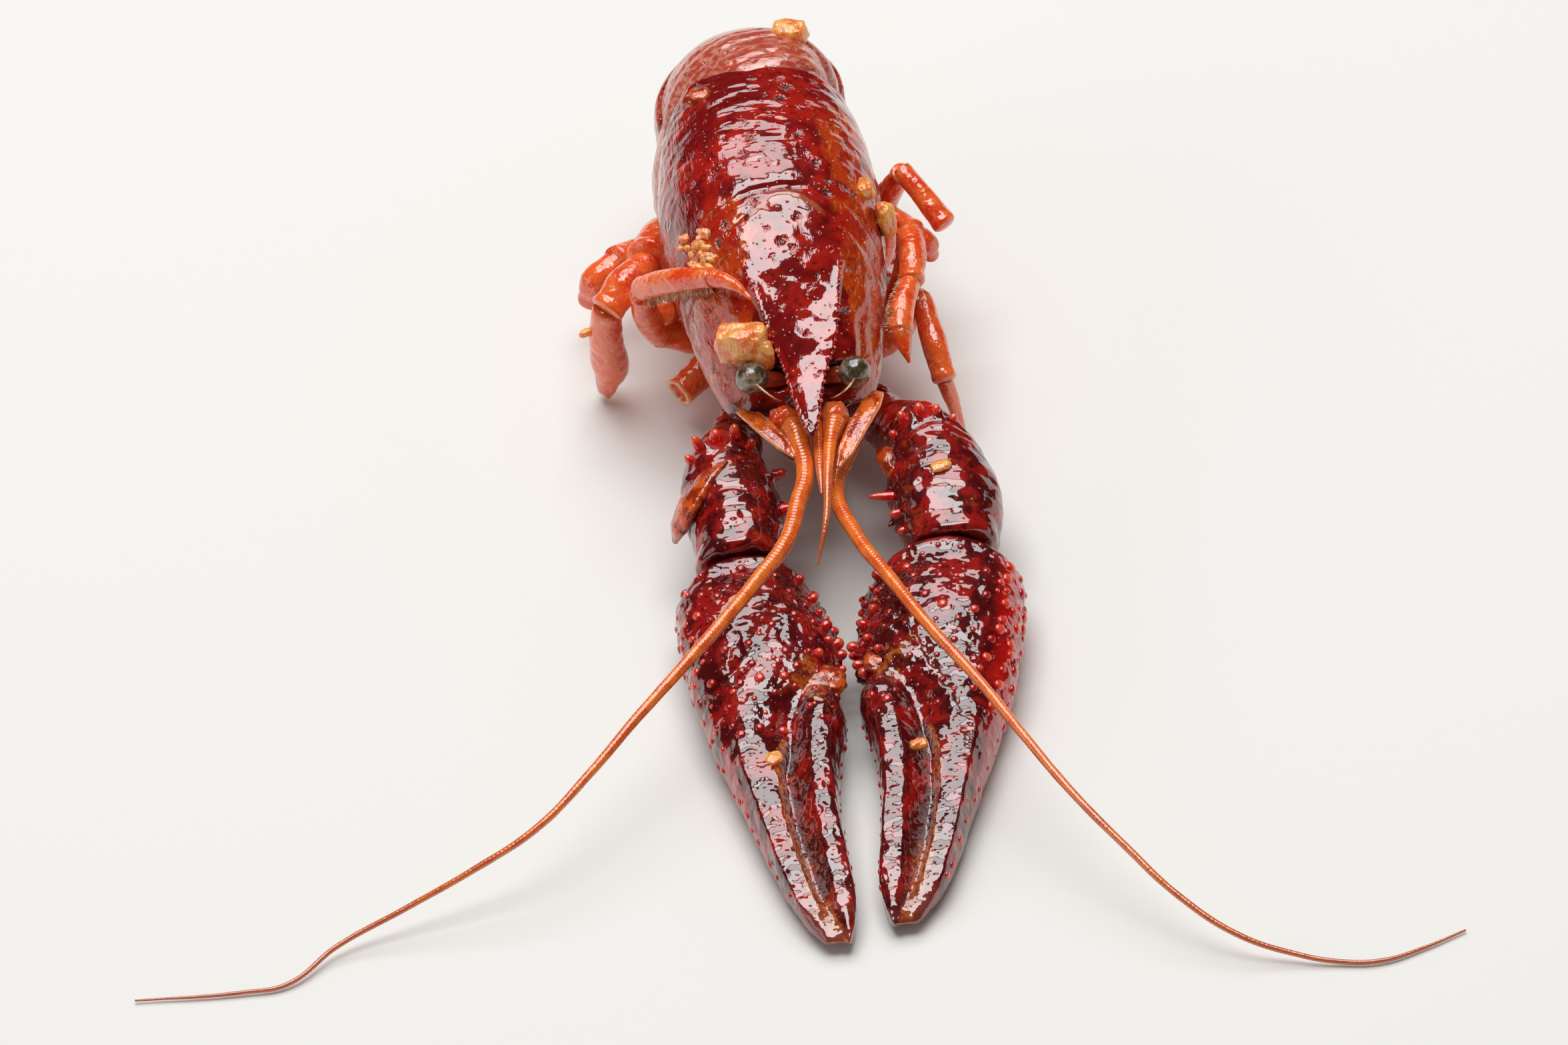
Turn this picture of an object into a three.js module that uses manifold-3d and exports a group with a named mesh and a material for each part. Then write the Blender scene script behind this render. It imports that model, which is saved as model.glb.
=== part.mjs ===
// A cooked freshwater crayfish lying on its belly: head down at the front, tail curled under, both claws
// flat on the table in front of the head. Millimetres, +Z up, the head points along -Y and the animal's
// left-hand claw, as seen from its front, lies on the -X side. The origin is the centre of its footprint.

import * as THREE from 'three';
import { LoftGeometry } from 'three/addons/geometries/LoftGeometry.js';
import { mergeVertices } from 'three/addons/utils/BufferGeometryUtils.js';
import Module from 'manifold-3d';

const wasm = await Module();
wasm.setup();

// ---------------------------------------------------------------- driving dimensions

const GAP = 0.3; // clearance between neighbouring pieces
const FOOT = 0.35; // how much is shaved off a round underside where it rests on the table

// Carapace, in its own frame: stations run forward from the rear edge, heights from the rear edge's top.
const REAR_HEIGHT = 34; // top of the rear edge above the table
const PITCH = 17; // degrees that the back slopes down towards the head
const ROLL = 8; // degrees that the body leans over, its back towards +X
const SHELL_END = 45; // front of the cheeks
const ROSTRUM_START = 29;
const ROSTRUM_TIP = 51;
const REAR_LEAN = 0.36; // how far a section leans forward for each millimetre down, at the rear
const FRONT_LEAN = -0.42; // and at the front, where the cheeks' edge runs down and back
const SHELL_SIDES = 26;
const SHELL_STEPS = 19;
// station, half width, top, widest level, bottom
const SHELL_ROWS = [
  [0, 10.6, 0, -8.2, -15.2],
  [3, 11.8, 1.4, -8.6, -16.8],
  [10, 12.8, 3.8, -8.5, -18.3],
  [18, 12.9, 5.1, -8.2, -18.9],
  [26, 12.4, 5.0, -8.2, -18.0],
  [33, 11.4, 3.3, -7.8, -16.0],
  [39, 10.3, 0.5, -7.4, -13.8],
  [43, 9.0, -1.8, -7.0, -12.0],
  [45, 7.8, -3.2, -7.0, -11.0],
];
// station, half width, height of the raised margins
const ROSTRUM_ROWS = [
  [29, 6.0, 3.6],
  [33, 5.3, 3.5],
  [37, 4.1, 2.7],
  [42, 2.7, 1.3],
  [46, 1.8, 0.5],
  [49, 1.1, 0.1],
  [51, 0.25, 0.0],
];
const ROSTRUM_DIP = 0.8; // depth of the hollow between the margins
const ROSTRUM_DEPTH = 2.6;
const ROSTRUM_RIM = 0.35; // thickness of the margins
const GROOVE_TOP = 20; // station of the neck groove on the back
const GROOVE_SWEEP = 11; // how far forward it runs by the time it reaches the widest level
const GROOVE_RADIUS = 0.75;
const GROOVE_SINK = 0.25; // how far the round cutter's centre stands off the shell
// Underside between the leg bases: station, half width, top, bottom
const BELLY_ROWS = [
  [1, 5.0, -12.0, -16.0],
  [8, 7.0, -13.5, -20.3],
  [16, 7.6, -14.5, -22.0],
  [25, 7.4, -14.0, -21.6],
  [33, 5.6, -12.0, -18.0],
  [40, 3.6, -9.6, -13.6],
  [44, 2.4, -8.6, -11.4],
];

const BELLY_RIBS = { depth: 0.5, pace: 1.05 }; // the plates between the legs, as a wave along the belly

const EYE = { x: 5.9, station: 42.4, height: -0.3, radius: 1.85, socket: 2.7 };

// Tail: it curls down behind the carapace round a level axis.
const CURL_RADIUS = 17.15;
const CURL_Y = 2.6;
const CURL_Z = CURL_RADIUS - FOOT;
const TUCK = 0.7; // how far a segment's front edge is sunk under the segment before it
// degrees round the curl where each segment starts and ends, half width, body depth, side lobe depth
const TAIL_ROWS = [
  [-7.6, 13, 9.9, 11.6, 12.2],
  [13, 45, 10.7, 11.6, 15.2],
  [45, 77, 11.4, 11.0, 15.0],
  [77, 106, 11.3, 10.2, 14.4],
  [106, 134, 10.6, 9.2, 13.4],
  [134, 167, 8.9, 7.6, 9.2],
];
const TAIL_STEPS = 5;
const LEVEL_FROM = 40; // degrees round the curl by which the body's lean has faded out
const TAIL_TURN = 8; // degrees that the tail swings to the side behind the body
const TAIL_SHIFT = -0.6;
const SHOULDER = 0.8; // how far down a segment's arch widens, as a share of its depth
// Tail fan, lying forward on the table under the body: root and tip, half width, thickness
const FAN = {
  telson: { root: [0, 3.7, 0.6], tip: [0, -10.7, 0.6], half: 5.2, thick: 1.9 },
  uropod_inner: { root: [3.6, 3.9, 2.5], tip: [8.6, -10.1, 2.3], half: 3.7, thick: 1.1 },
  uropod_outer: { root: [5.4, 4.1, 4.0], tip: [13.6, -7.7, 3.8], half: 3.9, thick: 1.1 },
};

// Claw, in its own frame: stations run forward from the wrist, outwards is +X on the right claw.
const CLAW_FLOOR = -FOOT;
// station, outer edge, inner edge, top, bottom
const PALM_ROWS = [
  [0, 4.6, -3.3, 9.4, 3.4],
  [1.5, 7.8, -5.0, 10.2, 2.0],
  [5, 9.6, -7.4, 11.2, 0.3],
  [10, 9.9, -8.6, 11.4, CLAW_FLOOR],
  [15, 9.7, -8.7, 10.9, CLAW_FLOOR],
  [18.5, 9.4, -8.2, 10.1, CLAW_FLOOR],
  [21, 9.1, -6.2, 9.4, CLAW_FLOOR],
  [23.5, 8.6, -2.4, 8.8, CLAW_FLOOR],
  [27, 7.9, -0.4, 8.1, CLAW_FLOOR],
  [32, 6.9, 0.9, 7.2, -0.1],
  [38, 5.7, 1.2, 6.3, 0.1],
  [45, 4.4, 0.7, 5.2, 0.3],
  [51, 2.8, -0.3, 4.0, 0.5],
  [54.5, 1.3, -1.0, 2.9, 0.9],
  [56, 0.3, -1.3, 2.3, 1.3],
];
const FINGER_ROWS = [
  [19.2, -5.2, -6.6, 6.6, 4.0],
  [20, -4.0, -7.2, 7.9, 2.6],
  [22, -2.9, -7.9, 8.9, 1.4],
  [26, -1.2, -7.4, 8.8, 0.6],
  [31, 0.3, -5.8, 7.9, 0.3],
  [38, 0.8, -4.7, 6.8, 0.2],
  [45, 0.3, -4.4, 5.6, 0.2],
  [51, -0.7, -4.2, 4.3, 0.5],
  [55, -1.7, -3.6, 3.1, 0.9],
  [56.8, -2.2, -3.0, 2.3, 1.4],
];
const CLAW_SIDES = 16;
const PALM_STEPS = 17;
const FINGER_STEPS = 12;
const PALM_SPINES = { count: 7, from: 5, to: 17.5, radius: 0.9, length: 2.2 };
// where each claw's wrist is, degrees it turns round the upright, and its scale across, along and up
const WRISTS = {
  left: { at: [-9.4, -57.4, 0], turn: 3.4, scale: [0.94, 0.98, 1] },
  right: { at: [12.3, -58.8, 0], turn: -9.6, scale: [1, 0.94, 1] },
};

const ARM_STYLE = { sides: 12, step: 2.6 };
const LEG_STYLE = { step: 3 };
const SPINE_ROOT = 1.9; // radius of a carpus spine's cone at its root inside the shell

// Arms, legs and feelers: rows of x, y, z, half width and half height.
const ARMS = {
  left: {
    ischium: [[-5.2, -27.2, 6.2, 2.6], [-8.2, -29.2, 5.4, 2.8]],
    merus: [[-8.3, -30.2, 5.4, 2.9], [-8.9, -34.4, 6.6, 3.3, 3.4], [-10.0, -39.4, 9.8, 3.6, 3.6]],
    carpus: [
      [-10.3, -40.4, 12.0, 3.0, 2.8],
      [-10.4, -43.0, 11.4, 4.6, 4.3],
      [-10.3, -47.4, 9.8, 5.8, 5.4],
      [-10.2, -52.0, 8.2, 6.1, 5.8],
      [-9.6, -55.6, 7.0, 5.0, 4.9],
      [-9.3, -57.2, 6.5, 3.6, 3.6],
    ],
    spines: [
      [-3.4, -45.5, 12.2],
      [-2.6, -50.2, 10.4],
      [-3.6, -54.6, 9.4],
      [-8.8, -41.6, 17.2],
      [-12.6, -42.0, 17.0],
    ],
  },
  right: {
    ischium: [[5.2, -27.2, 6.2, 2.6], [8.2, -29.2, 5.4, 2.8]],
    merus: [[8.3, -30.2, 5.4, 2.9], [9.6, -34.4, 6.6, 3.3, 3.4], [12.0, -39.4, 9.8, 3.6, 3.6]],
    carpus: [
      [12.6, -40.2, 12.0, 3.0, 2.8],
      [13.0, -43.4, 11.4, 4.7, 4.3],
      [13.6, -48.2, 9.8, 6.2, 5.4],
      [14.0, -53.0, 8.2, 6.6, 5.8],
      [13.2, -56.8, 7.0, 5.4, 4.9],
      [12.5, -58.6, 6.5, 3.6, 3.6],
    ],
    spines: [
      [6.4, -46.0, 12.2],
      [5.4, -51.2, 10.6],
      [6.2, -55.6, 9.4],
      [11.0, -41.8, 17.2],
      [15.0, -42.2, 17.0],
    ],
  },
};
const LEGS = {
  leg_left_1: [[-4.0, -20.8, 8.0, 2.0], [-10.4, -22.8, 7.0, 1.9], [-15.0, -22.0, 6.2, 1.75]],
  leg_left_2: [
    [-4.0, -15.4, 8.6, 2.0],
    [-11.4, -15.6, 8.2, 1.8],
    [-15.5, -17.1, 11.0, 2.0],
    [-17.3, -20.1, 17.0, 1.8],
    [-16.8, -22.1, 22.0, 1.5],
    [-12.8, -26.4, 26.0, 1.25],
    [-7.8, -30.0, 28.8, 1.15],
    [-4.8, -34.0, 28.2, 0.4],
  ],
  leg_left_3: [
    [-4.0, -10.0, 9.8, 2.0],
    [-10.6, -9.6, 9.0, 2.0],
    [-12.8, -4.4, 14.0, 2.2],
    [-16.7, -13.7, 18.0, 2.1],
    [-21.0, -17.8, 17.0, 1.9],
    [-21.9, -16.9, 12.0, 1.8],
    [-22.0, -15.7, 6.5, 1.6],
    [-22.4, -14.5, 2.6, 0.9],
  ],
  leg_left_4: [
    [-4.0, -4.0, 11.4, 1.9],
    [-10.6, -2.0, 10.2, 1.8],
    [-16.1, 0.9, 9.3, 1.8],
    [-19.3, -2.8, 10.8, 1.9],
    [-22.2, -4.4, 9.4, 1.9],
    [-23.1, -4.1, 6.6, 1.6],
  ],
  leg_right_1: [
    [3.0, -20.8, 8.0, 2.0],
    [10.2, -20.6, 8.2, 1.8],
    [15.0, -20.9, 14.0, 1.5],
    [15.6, -26.2, 11.8, 1.5],
    [16.2, -29.8, 9.0, 1.3],
    [16.9, -30.3, 5.6, 0.9],
    [17.6, -31.1, 1.4, 0.5],
  ],
  leg_right_2: [
    [3.0, -15.4, 8.6, 2.0],
    [10.6, -16.0, 9.0, 1.8],
    [13.6, -16.9, 14.4, 1.7],
    [14.6, -16.5, 21.0, 1.5],
    [14.5, -21.1, 20.6, 1.7],
    [13.9, -24.7, 20.0, 1.4],
    [12.2, -29.0, 19.4, 1.3],
    [11.7, -31.8, 18.6, 1.3],
    [12.1, -34.4, 16.6, 0.4],
  ],
  leg_right_3: [
    [3.0, -10.0, 9.8, 2.0],
    [10.0, -9.6, 10.2, 1.6],
    [13.0, -7.7, 16.4, 1.3],
    [15.3, -11.8, 16.6, 1.2],
    [16.8, -12.1, 14.6, 1.1],
    [17.0, -11.7, 11.6, 0.9],
  ],
  leg_right_4: [
    [3.0, -4.0, 11.4, 1.9],
    [10.4, -3.0, 11.2, 1.7],
    [13.2, -4.7, 17.0, 1.5],
    [14.9, -6.7, 21.6, 1.35],
    [16.9, -9.4, 19.6, 1.4],
    [18.9, -12.0, 17.4, 1.3],
  ],
};
const FEELERS = {
  antenna_left: [
    [-4.6, -41.2, 14.6, 1.9],
    [-1.8, -42.8, 15.6, 1.4],
    [-1.3, -46.9, 15.8, 1.2],
    [-1.3, -50.9, 15.6, 1.15],
    [-2.7, -55.4, 15.4, 1.1],
    [-4.5, -61.2, 15.2, 1.05],
    [-7.8, -66.1, 15.0, 1.0],
    [-13.3, -73.2, 14.6, 0.92],
    [-18.6, -78.9, 13.6, 0.84],
    [-23.9, -84.1, 12.2, 0.76],
    [-29.3, -89.4, 10.4, 0.66],
    [-35.9, -94.7, 8.2, 0.56],
    [-43.4, -97.4, 5.8, 0.48],
    [-51.2, -99.4, 3.4, 0.42],
    [-59.0, -101.8, 1.5, 0.36],
    [-64.8, -105.7, 0.6, 0.32],
    [-69.4, -105.9, 0.5, 0.3],
    [-81.3, -104.8, 0.5, 0.25],
  ],
  antenna_right: [
    [4.8, -42.4, 14.2, 1.9],
    [3.2, -46.6, 13.6, 1.4],
    [1.8, -51.5, 13.4, 1.25],
    [3.3, -60.6, 14.0, 1.1],
    [6.3, -69.1, 14.4, 1.02],
    [10.1, -78.6, 14.3, 0.95],
    [14.0, -86.3, 13.4, 0.86],
    [17.7, -94.3, 12.2, 0.76],
    [22.2, -102.9, 10.2, 0.66],
    [26.9, -109.7, 7.8, 0.56],
    [31.6, -115.5, 5.2, 0.48],
    [37.4, -120.3, 2.8, 0.42],
    [42.7, -122.5, 1.3, 0.36],
    [47.2, -123.9, 0.6, 0.32],
    [51.8, -124.6, 0.5, 0.3],
    [56.7, -123.4, 0.5, 0.28],
    [61.3, -121.6, 0.5, 0.25],
  ],
  antennule_left: [
    [0.9, -42.8, 16.6, 0.8],
    [0.6, -47.7, 16.4, 0.6],
    [0.4, -51.4, 16.2, 0.5],
    [0.1, -54.6, 15.6, 0.3],
  ],
  antennule_right: [
    [2.7, -42.6, 16.8, 0.95],
    [1.9, -46.9, 17.0, 0.62],
    [1.1, -52.8, 16.8, 0.5],
    [0.2, -58.3, 15.2, 0.4],
    [-1.4, -62.6, 12.4, 0.28],
  ],
};
const MOUTH_PARTS = {
  maxilliped_left: [[-2.1, -30.4, 6.4, 1.4, 1.0], [-2.3, -35.6, 6.8, 1.6, 1.1], [-1.8, -41.6, 9.8, 0.9, 0.7]],
  maxilliped_right: [[2.1, -30.4, 6.4, 1.4, 1.0], [2.3, -35.6, 6.8, 1.6, 1.1], [1.8, -41.6, 9.8, 0.9, 0.7]],
};
// Flat plates beside the feelers: root, tip, half width, thickness
const SCALES = {
  antennal_scale_left: { root: [-6.9, -41.0, 17.6], tip: [-3.3, -48.4, 17.0], half: 1.5, thick: 0.9 },
  antennal_scale_right: { root: [7.3, -42.4, 17.6], tip: [3.9, -51.0, 17.0], half: 1.5, thick: 0.9 },
};
// Garlic and sauce lumps that stick to the shell: place, half sizes. The first lies on the cheek.
const SHELL_LUMPS = [
  { at: [-6.1, -37.3, 24.4], size: [3.3, 2.2, 2.1] },
  { at: [9.8, -17.3, 28.1], size: [0.9, 1.3, 1.0] },
  { at: [-7.4, -2.8, 33.2], size: [1.5, 1.1, 0.9] },
];
const LUMPINESS = 0.16;
const TAIL_LUMP = { at: [4.2, 8.7, 31.8], size: [1.9, 1.4, 1.3], segment: 2 };

// A flat plate's outline: how far along, share of the half width, share of the thickness
const LEAF_ROWS = [
  [0, 0.55, 1],
  [0.25, 0.86, 1],
  [0.6, 1, 0.85],
  [0.85, 0.84, 0.7],
  [0.96, 0.5, 0.6],
  [1, 0.2, 0.5],
];
const LEAF_PLACES = [0, 0.2, 0.4, 0.6, 0.78, 0.9, 0.97, 1];

const COLOURS = {
  shell: { color: 0x7d1210, roughness: 0.25 },
  tail: { color: 0x96201a, roughness: 0.3 },
  claw: { color: 0x4a0e12, roughness: 0.3 },
  leg: { color: 0xc9451f, roughness: 0.4 },
  feeler: { color: 0xd8691f, roughness: 0.4 },
  belly: { color: 0xb9573a, roughness: 0.5 },
  eye: { color: 0x2d2f2e, roughness: 0.15 },
};

// ---------------------------------------------------------------- helpers

const radians = THREE.MathUtils.degToRad;
const vector = (list) => new THREE.Vector3(...list);

// Evenly spaced stations from one end to the other.
function even(from, to, steps) {
  return Array.from({ length: steps + 1 }, (_, i) => from + ((to - from) * i) / steps);
}

// A smooth curve through rows of [station, value, value, ...]: it gives the values at any station.
function between(rows) {
  const places = rows.map((row) => row[0]);
  const values = rows.flatMap((row) => row.slice(1));
  const curve = new THREE.CubicInterpolant(places, values, rows[0].length - 1);
  return (station) => Array.from(curve.evaluate(station));
}

// One number raised to a power without losing its sign, which squares off an oval.
const squared = (value, power) => Math.sign(value) * Math.abs(value) ** (2 / power);

// A point of an oval whose left, right, top and bottom differ, with its widest level where it is told.
function ovalPoint(angle, { left, right, top, bottom, level, power }) {
  const side = squared(Math.cos(angle), power);
  const rise = squared(Math.sin(angle), power);
  const x = (left + right) / 2 + (side * (right - left)) / 2;
  return [x, level + rise * (rise > 0 ? top - level : level - bottom)];
}

// A closed skin through rings of points. Each ring turns anticlockwise as seen from the last one.
function skin(rings) {
  return new LoftGeometry(rings, { capStart: true, capEnd: true });
}

function ring(sides, point) {
  return Array.from({ length: sides }, (_, i) => point((2 * Math.PI * i) / sides));
}

// A limb through rows of [x, y, z, half width, half height], with blunt rounded ends.
function limb(rows, { sides = 8, step = 2.2, grow = 0 } = {}) {
  const curve = new THREE.CatmullRomCurve3(rows.map((row) => vector(row)), false, 'centripetal');
  const sizes = between(rows.map((row, i) => [i / (rows.length - 1), row[3], row[4] ?? row[3]]));
  const places = [0];
  for (let i = 1; i < rows.length; i++) {
    const cuts = Math.max(1, Math.round(vector(rows[i]).distanceTo(vector(rows[i - 1])) / step));
    places.push(...even(i - 1, i, cuts).slice(1).map((place) => place / (rows.length - 1)));
  }
  const up = new THREE.Vector3(0, 0, 1);
  if (Math.abs(curve.getTangent(0).z) > 0.9) up.set(0, -1, 0);
  const section = (place, outset, scale) => {
    const along = curve.getTangent(place);
    const across = new THREE.Vector3().crossVectors(up, along).normalize();
    up.crossVectors(along, across).normalize();
    const [half, high] = sizes(place).map((size) => size + grow);
    const centre = curve.getPoint(place).addScaledVector(along, outset * Math.min(half, high));
    const lift = up.clone();
    return ring(sides, (angle) => centre.clone()
      .addScaledVector(across, Math.cos(angle) * half * scale)
      .addScaledVector(lift, Math.sin(angle) * high * scale));
  };
  const rings = [section(0, -0.5, 0.6), ...places.map((place) => section(place, 0, 1)), section(1, 0.5, 0.6)];
  return skin(rings);
}

// A thin leaf-shaped plate from its root to its rounded tip, lying level.
function plate({ root, tip, half, thick }, grow = 0) {
  const start = vector(root);
  const along = vector(tip).sub(start);
  const length = along.length();
  along.normalize();
  const across = new THREE.Vector3().crossVectors(new THREE.Vector3(0, 0, 1), along).normalize();
  const up = new THREE.Vector3().crossVectors(along, across);
  const shape = between(LEAF_ROWS);
  return skin(LEAF_PLACES.map((place) => {
    const [wide, deep] = shape(place);
    return ring(8, (angle) => start.clone()
      .addScaledVector(along, place * length)
      .addScaledVector(across, Math.cos(angle) * (half * wide + grow))
      .addScaledVector(up, squared(Math.sin(angle), 2.6) * ((thick * deep) / 2 + grow)));
  }));
}

// A spine: a cone from inside the shell to its sharp tip.
function spine(from, tip, radius) {
  const along = tip.clone().sub(from);
  const cone = new THREE.ConeGeometry(radius, along.length(), 6).translate(0, along.length() / 2, 0);
  const turn = new THREE.Quaternion().setFromUnitVectors(new THREE.Vector3(0, 1, 0), along.normalize());
  return toSolid(cone.applyQuaternion(turn).translate(from.x, from.y, from.z));
}

// A lumpy pebble of garlic or sauce.
function lump({ at, size }, seed) {
  const shape = new THREE.IcosahedronGeometry(1, 1);
  const points = shape.getAttribute('position');
  const point = new THREE.Vector3();
  for (let i = 0; i < points.count; i++) {
    point.fromBufferAttribute(points, i);
    const wave = Math.sin(3.1 * point.x + seed) * Math.sin(2.7 * point.y + 2 * seed) * Math.cos(2.3 * point.z);
    point.multiplyScalar(1 + LUMPINESS * wave);
    points.setXYZ(i, point.x * size[0] + at[0], point.y * size[1] + at[1], point.z * size[2] + at[2]);
  }
  return shape;
}

function toSolid(geometry, place = new THREE.Matrix4()) {
  const bare = new THREE.BufferGeometry().setAttribute('position', geometry.getAttribute('position').clone());
  bare.setIndex(geometry.index);
  const merged = mergeVertices(bare.applyMatrix4(place), 1e-4);
  const vertProperties = new Float32Array(merged.getAttribute('position').array);
  const triVerts = new Uint32Array(merged.index.array);
  return new wasm.Manifold(new wasm.Mesh({ numProp: 3, vertProperties, triVerts }));
}

function toGeometry(solid) {
  const made = solid.getMesh();
  const geometry = new THREE.BufferGeometry();
  geometry.setAttribute('position', new THREE.BufferAttribute(new Float32Array(made.vertProperties), 3));
  geometry.setIndex(new THREE.BufferAttribute(new Uint32Array(made.triVerts), 1));
  geometry.computeVertexNormals();
  return geometry;
}

function mirrored(geometry) {
  const turned = new THREE.BufferGeometry().copy(geometry).scale(-1, 1, 1);
  const index = turned.index.array;
  for (let i = 0; i < index.length; i += 3) {
    const second = index[i + 1];
    index[i + 1] = index[i + 2];
    index[i + 2] = second;
  }
  return turned;
}

function add(group, name, geometry, finish) {
  const mesh = new THREE.Mesh(geometry, new THREE.MeshStandardMaterial(COLOURS[finish]));
  mesh.name = name;
  group.add(mesh);
}

// What lies below the table, as a block that shaves a resting piece flat.
const belowTable = toSolid(new THREE.BoxGeometry(400, 400, 20).translate(0, 0, -10));

// ---------------------------------------------------------------- carapace and belly

const shellShape = between(SHELL_ROWS);

// A point of the carapace at a station and an angle round it, 90 degrees being the middle of the back.
function shellPoint(station, angle, grow = 0) {
  const [half, top, level, bottom] = shellShape(station);
  const outline = { left: -half - grow, right: half + grow, top: top + grow, bottom: bottom - grow, level };
  const [x, height] = ovalPoint(angle, { ...outline, power: 2.25 });
  const lean = THREE.MathUtils.lerp(REAR_LEAN, FRONT_LEAN, station / SHELL_END);
  return new THREE.Vector3(x, -(station + lean * (top - height)), height);
}

function shellForm(grow = 0) {
  const stations = even(0, SHELL_END, SHELL_STEPS);
  const form = stations.map((station) => ring(SHELL_SIDES, (angle) => shellPoint(station, angle, grow)));
  const back = ring(SHELL_SIDES, (angle) => shellPoint(0, angle, grow).add(new THREE.Vector3(0, grow, 0)));
  const front = form.at(-1).map((point) => {
    const [, , level] = shellShape(SHELL_END);
    return new THREE.Vector3(point.x * 0.72, point.y - 1.2 - grow, level + (point.z - level) * 0.72);
  });
  return skin([...(grow > 0 ? [back] : []), ...form, front]);
}

function rostrumForm(grow = 0) {
  const shape = between(ROSTRUM_ROWS);
  const rim = ROSTRUM_RIM + grow;
  return skin(even(ROSTRUM_START, ROSTRUM_TIP, 11).map((station) => {
    const [half, height] = shape(station);
    const dip = Math.min(ROSTRUM_DIP, 0.3 * half);
    const depth = Math.min(ROSTRUM_DEPTH, 0.4 + half);
    return ring(12, (angle) => {
      const x = Math.cos(angle) * (half + grow);
      const inside = 1 - Math.cos(angle) ** 2;
      const z = Math.sin(angle) > -1e-9 ? height + grow - dip * inside : height - rim - depth * inside;
      return new THREE.Vector3(x, -station, z);
    });
  }));
}

function neckGroove() {
  const line = even(-28, 208, 24).map((degrees) => {
    const angle = radians(degrees);
    return shellPoint(GROOVE_TOP + GROOVE_SWEEP * (1 - Math.sin(angle)), angle, GROOVE_SINK);
  });
  const section = new THREE.Shape().absarc(0, 0, GROOVE_RADIUS, 0, 2 * Math.PI);
  return new THREE.ExtrudeGeometry(section, {
    curveSegments: 3,
    steps: 26,
    extrudePath: new THREE.CatmullRomCurve3(line),
  });
}

function bellyForm(grow = 0) {
  const shape = between(BELLY_ROWS);
  const first = BELLY_ROWS[0][0];
  const last = BELLY_ROWS.at(-1)[0];
  const stations = even(first, last, 12);
  return skin(stations.map((station, i) => {
    const [half, top, bottom] = shape(station);
    const ribs = BELLY_RIBS.depth * Math.sin(station * BELLY_RIBS.pace);
    const reach = i === 0 ? grow : i === stations.length - 1 ? -grow : 0;
    return ring(14, (angle) => {
      const outline = { left: -half - grow, right: half + grow, top: top + grow, bottom: bottom - grow };
      const [x, height] = ovalPoint(angle, { ...outline, level: (top + bottom) / 2, power: 2.6 });
      const lean = THREE.MathUtils.lerp(REAR_LEAN, FRONT_LEAN, station / SHELL_END);
      const drop = Math.sin(angle) < 0 && Math.abs(Math.cos(angle)) < 0.5 ? ribs : 0;
      return new THREE.Vector3(x, -(station + lean * -height) + reach, height + drop);
    });
  }));
}

// Eye and its stalk, which leans out from under the rostrum.
function eyeForm(side, grow = 0) {
  const ball = new THREE.SphereGeometry(EYE.radius + grow, 10, 7);
  const centre = new THREE.Vector3(side * EYE.x, -EYE.station, EYE.height);
  const root = [side * 1.9, -EYE.station + 0.6, EYE.height - 1.6, 0.8 + grow];
  const end = [side * (EYE.x - 0.4), -EYE.station, EYE.height - 0.2, 1.25 + grow];
  const stalk = toSolid(limb([root, end]));
  return toSolid(ball.translate(centre.x, centre.y, centre.z)).add(stalk);
}

function orbit(side) {
  const hollow = new THREE.SphereGeometry(EYE.socket, 12, 8);
  const at = [side * (EYE.x + 0.2), -EYE.station - 0.5, EYE.height + 0.5];
  return toSolid(hollow.translate(...at)).add(eyeForm(side, GAP));
}

const trunk = new THREE.Group();
trunk.position.set(0, 0, REAR_HEIGHT);
trunk.rotation.set(radians(PITCH), radians(ROLL), 0);
trunk.updateMatrix();
const inTrunk = trunk.matrix;
const outOfTrunk = inTrunk.clone().invert();

const rostrum = toSolid(rostrumForm());
const shell = toSolid(shellForm())
  .add(rostrum)
  .subtract(toSolid(neckGroove()))
  .subtract(toSolid(bellyForm(GAP)))
  .subtract(orbit(-1))
  .subtract(orbit(1));
const lumps = SHELL_LUMPS.map((size, i) => toSolid(lump(size, i), outOfTrunk).subtract(eyeForm(-1, GAP)));
add(trunk, 'carapace', toGeometry(lumps.reduce((all, piece) => all.add(piece), shell)), 'shell');
add(trunk, 'underside', bellyForm(), 'belly');
const roof = toSolid(rostrumForm(GAP));
add(trunk, 'eye_left', toGeometry(eyeForm(-1).subtract(roof)), 'eye');
add(trunk, 'eye_right', toGeometry(eyeForm(1).subtract(roof)), 'eye');

// The space that the body takes, with its clearance, which the limbs and feelers are cut back to.
const body = toSolid(shellForm(GAP), inTrunk)
  .add(toSolid(rostrumForm(GAP), inTrunk))
  .add(toSolid(bellyForm(GAP), inTrunk));

// ---------------------------------------------------------------- tail

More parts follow.
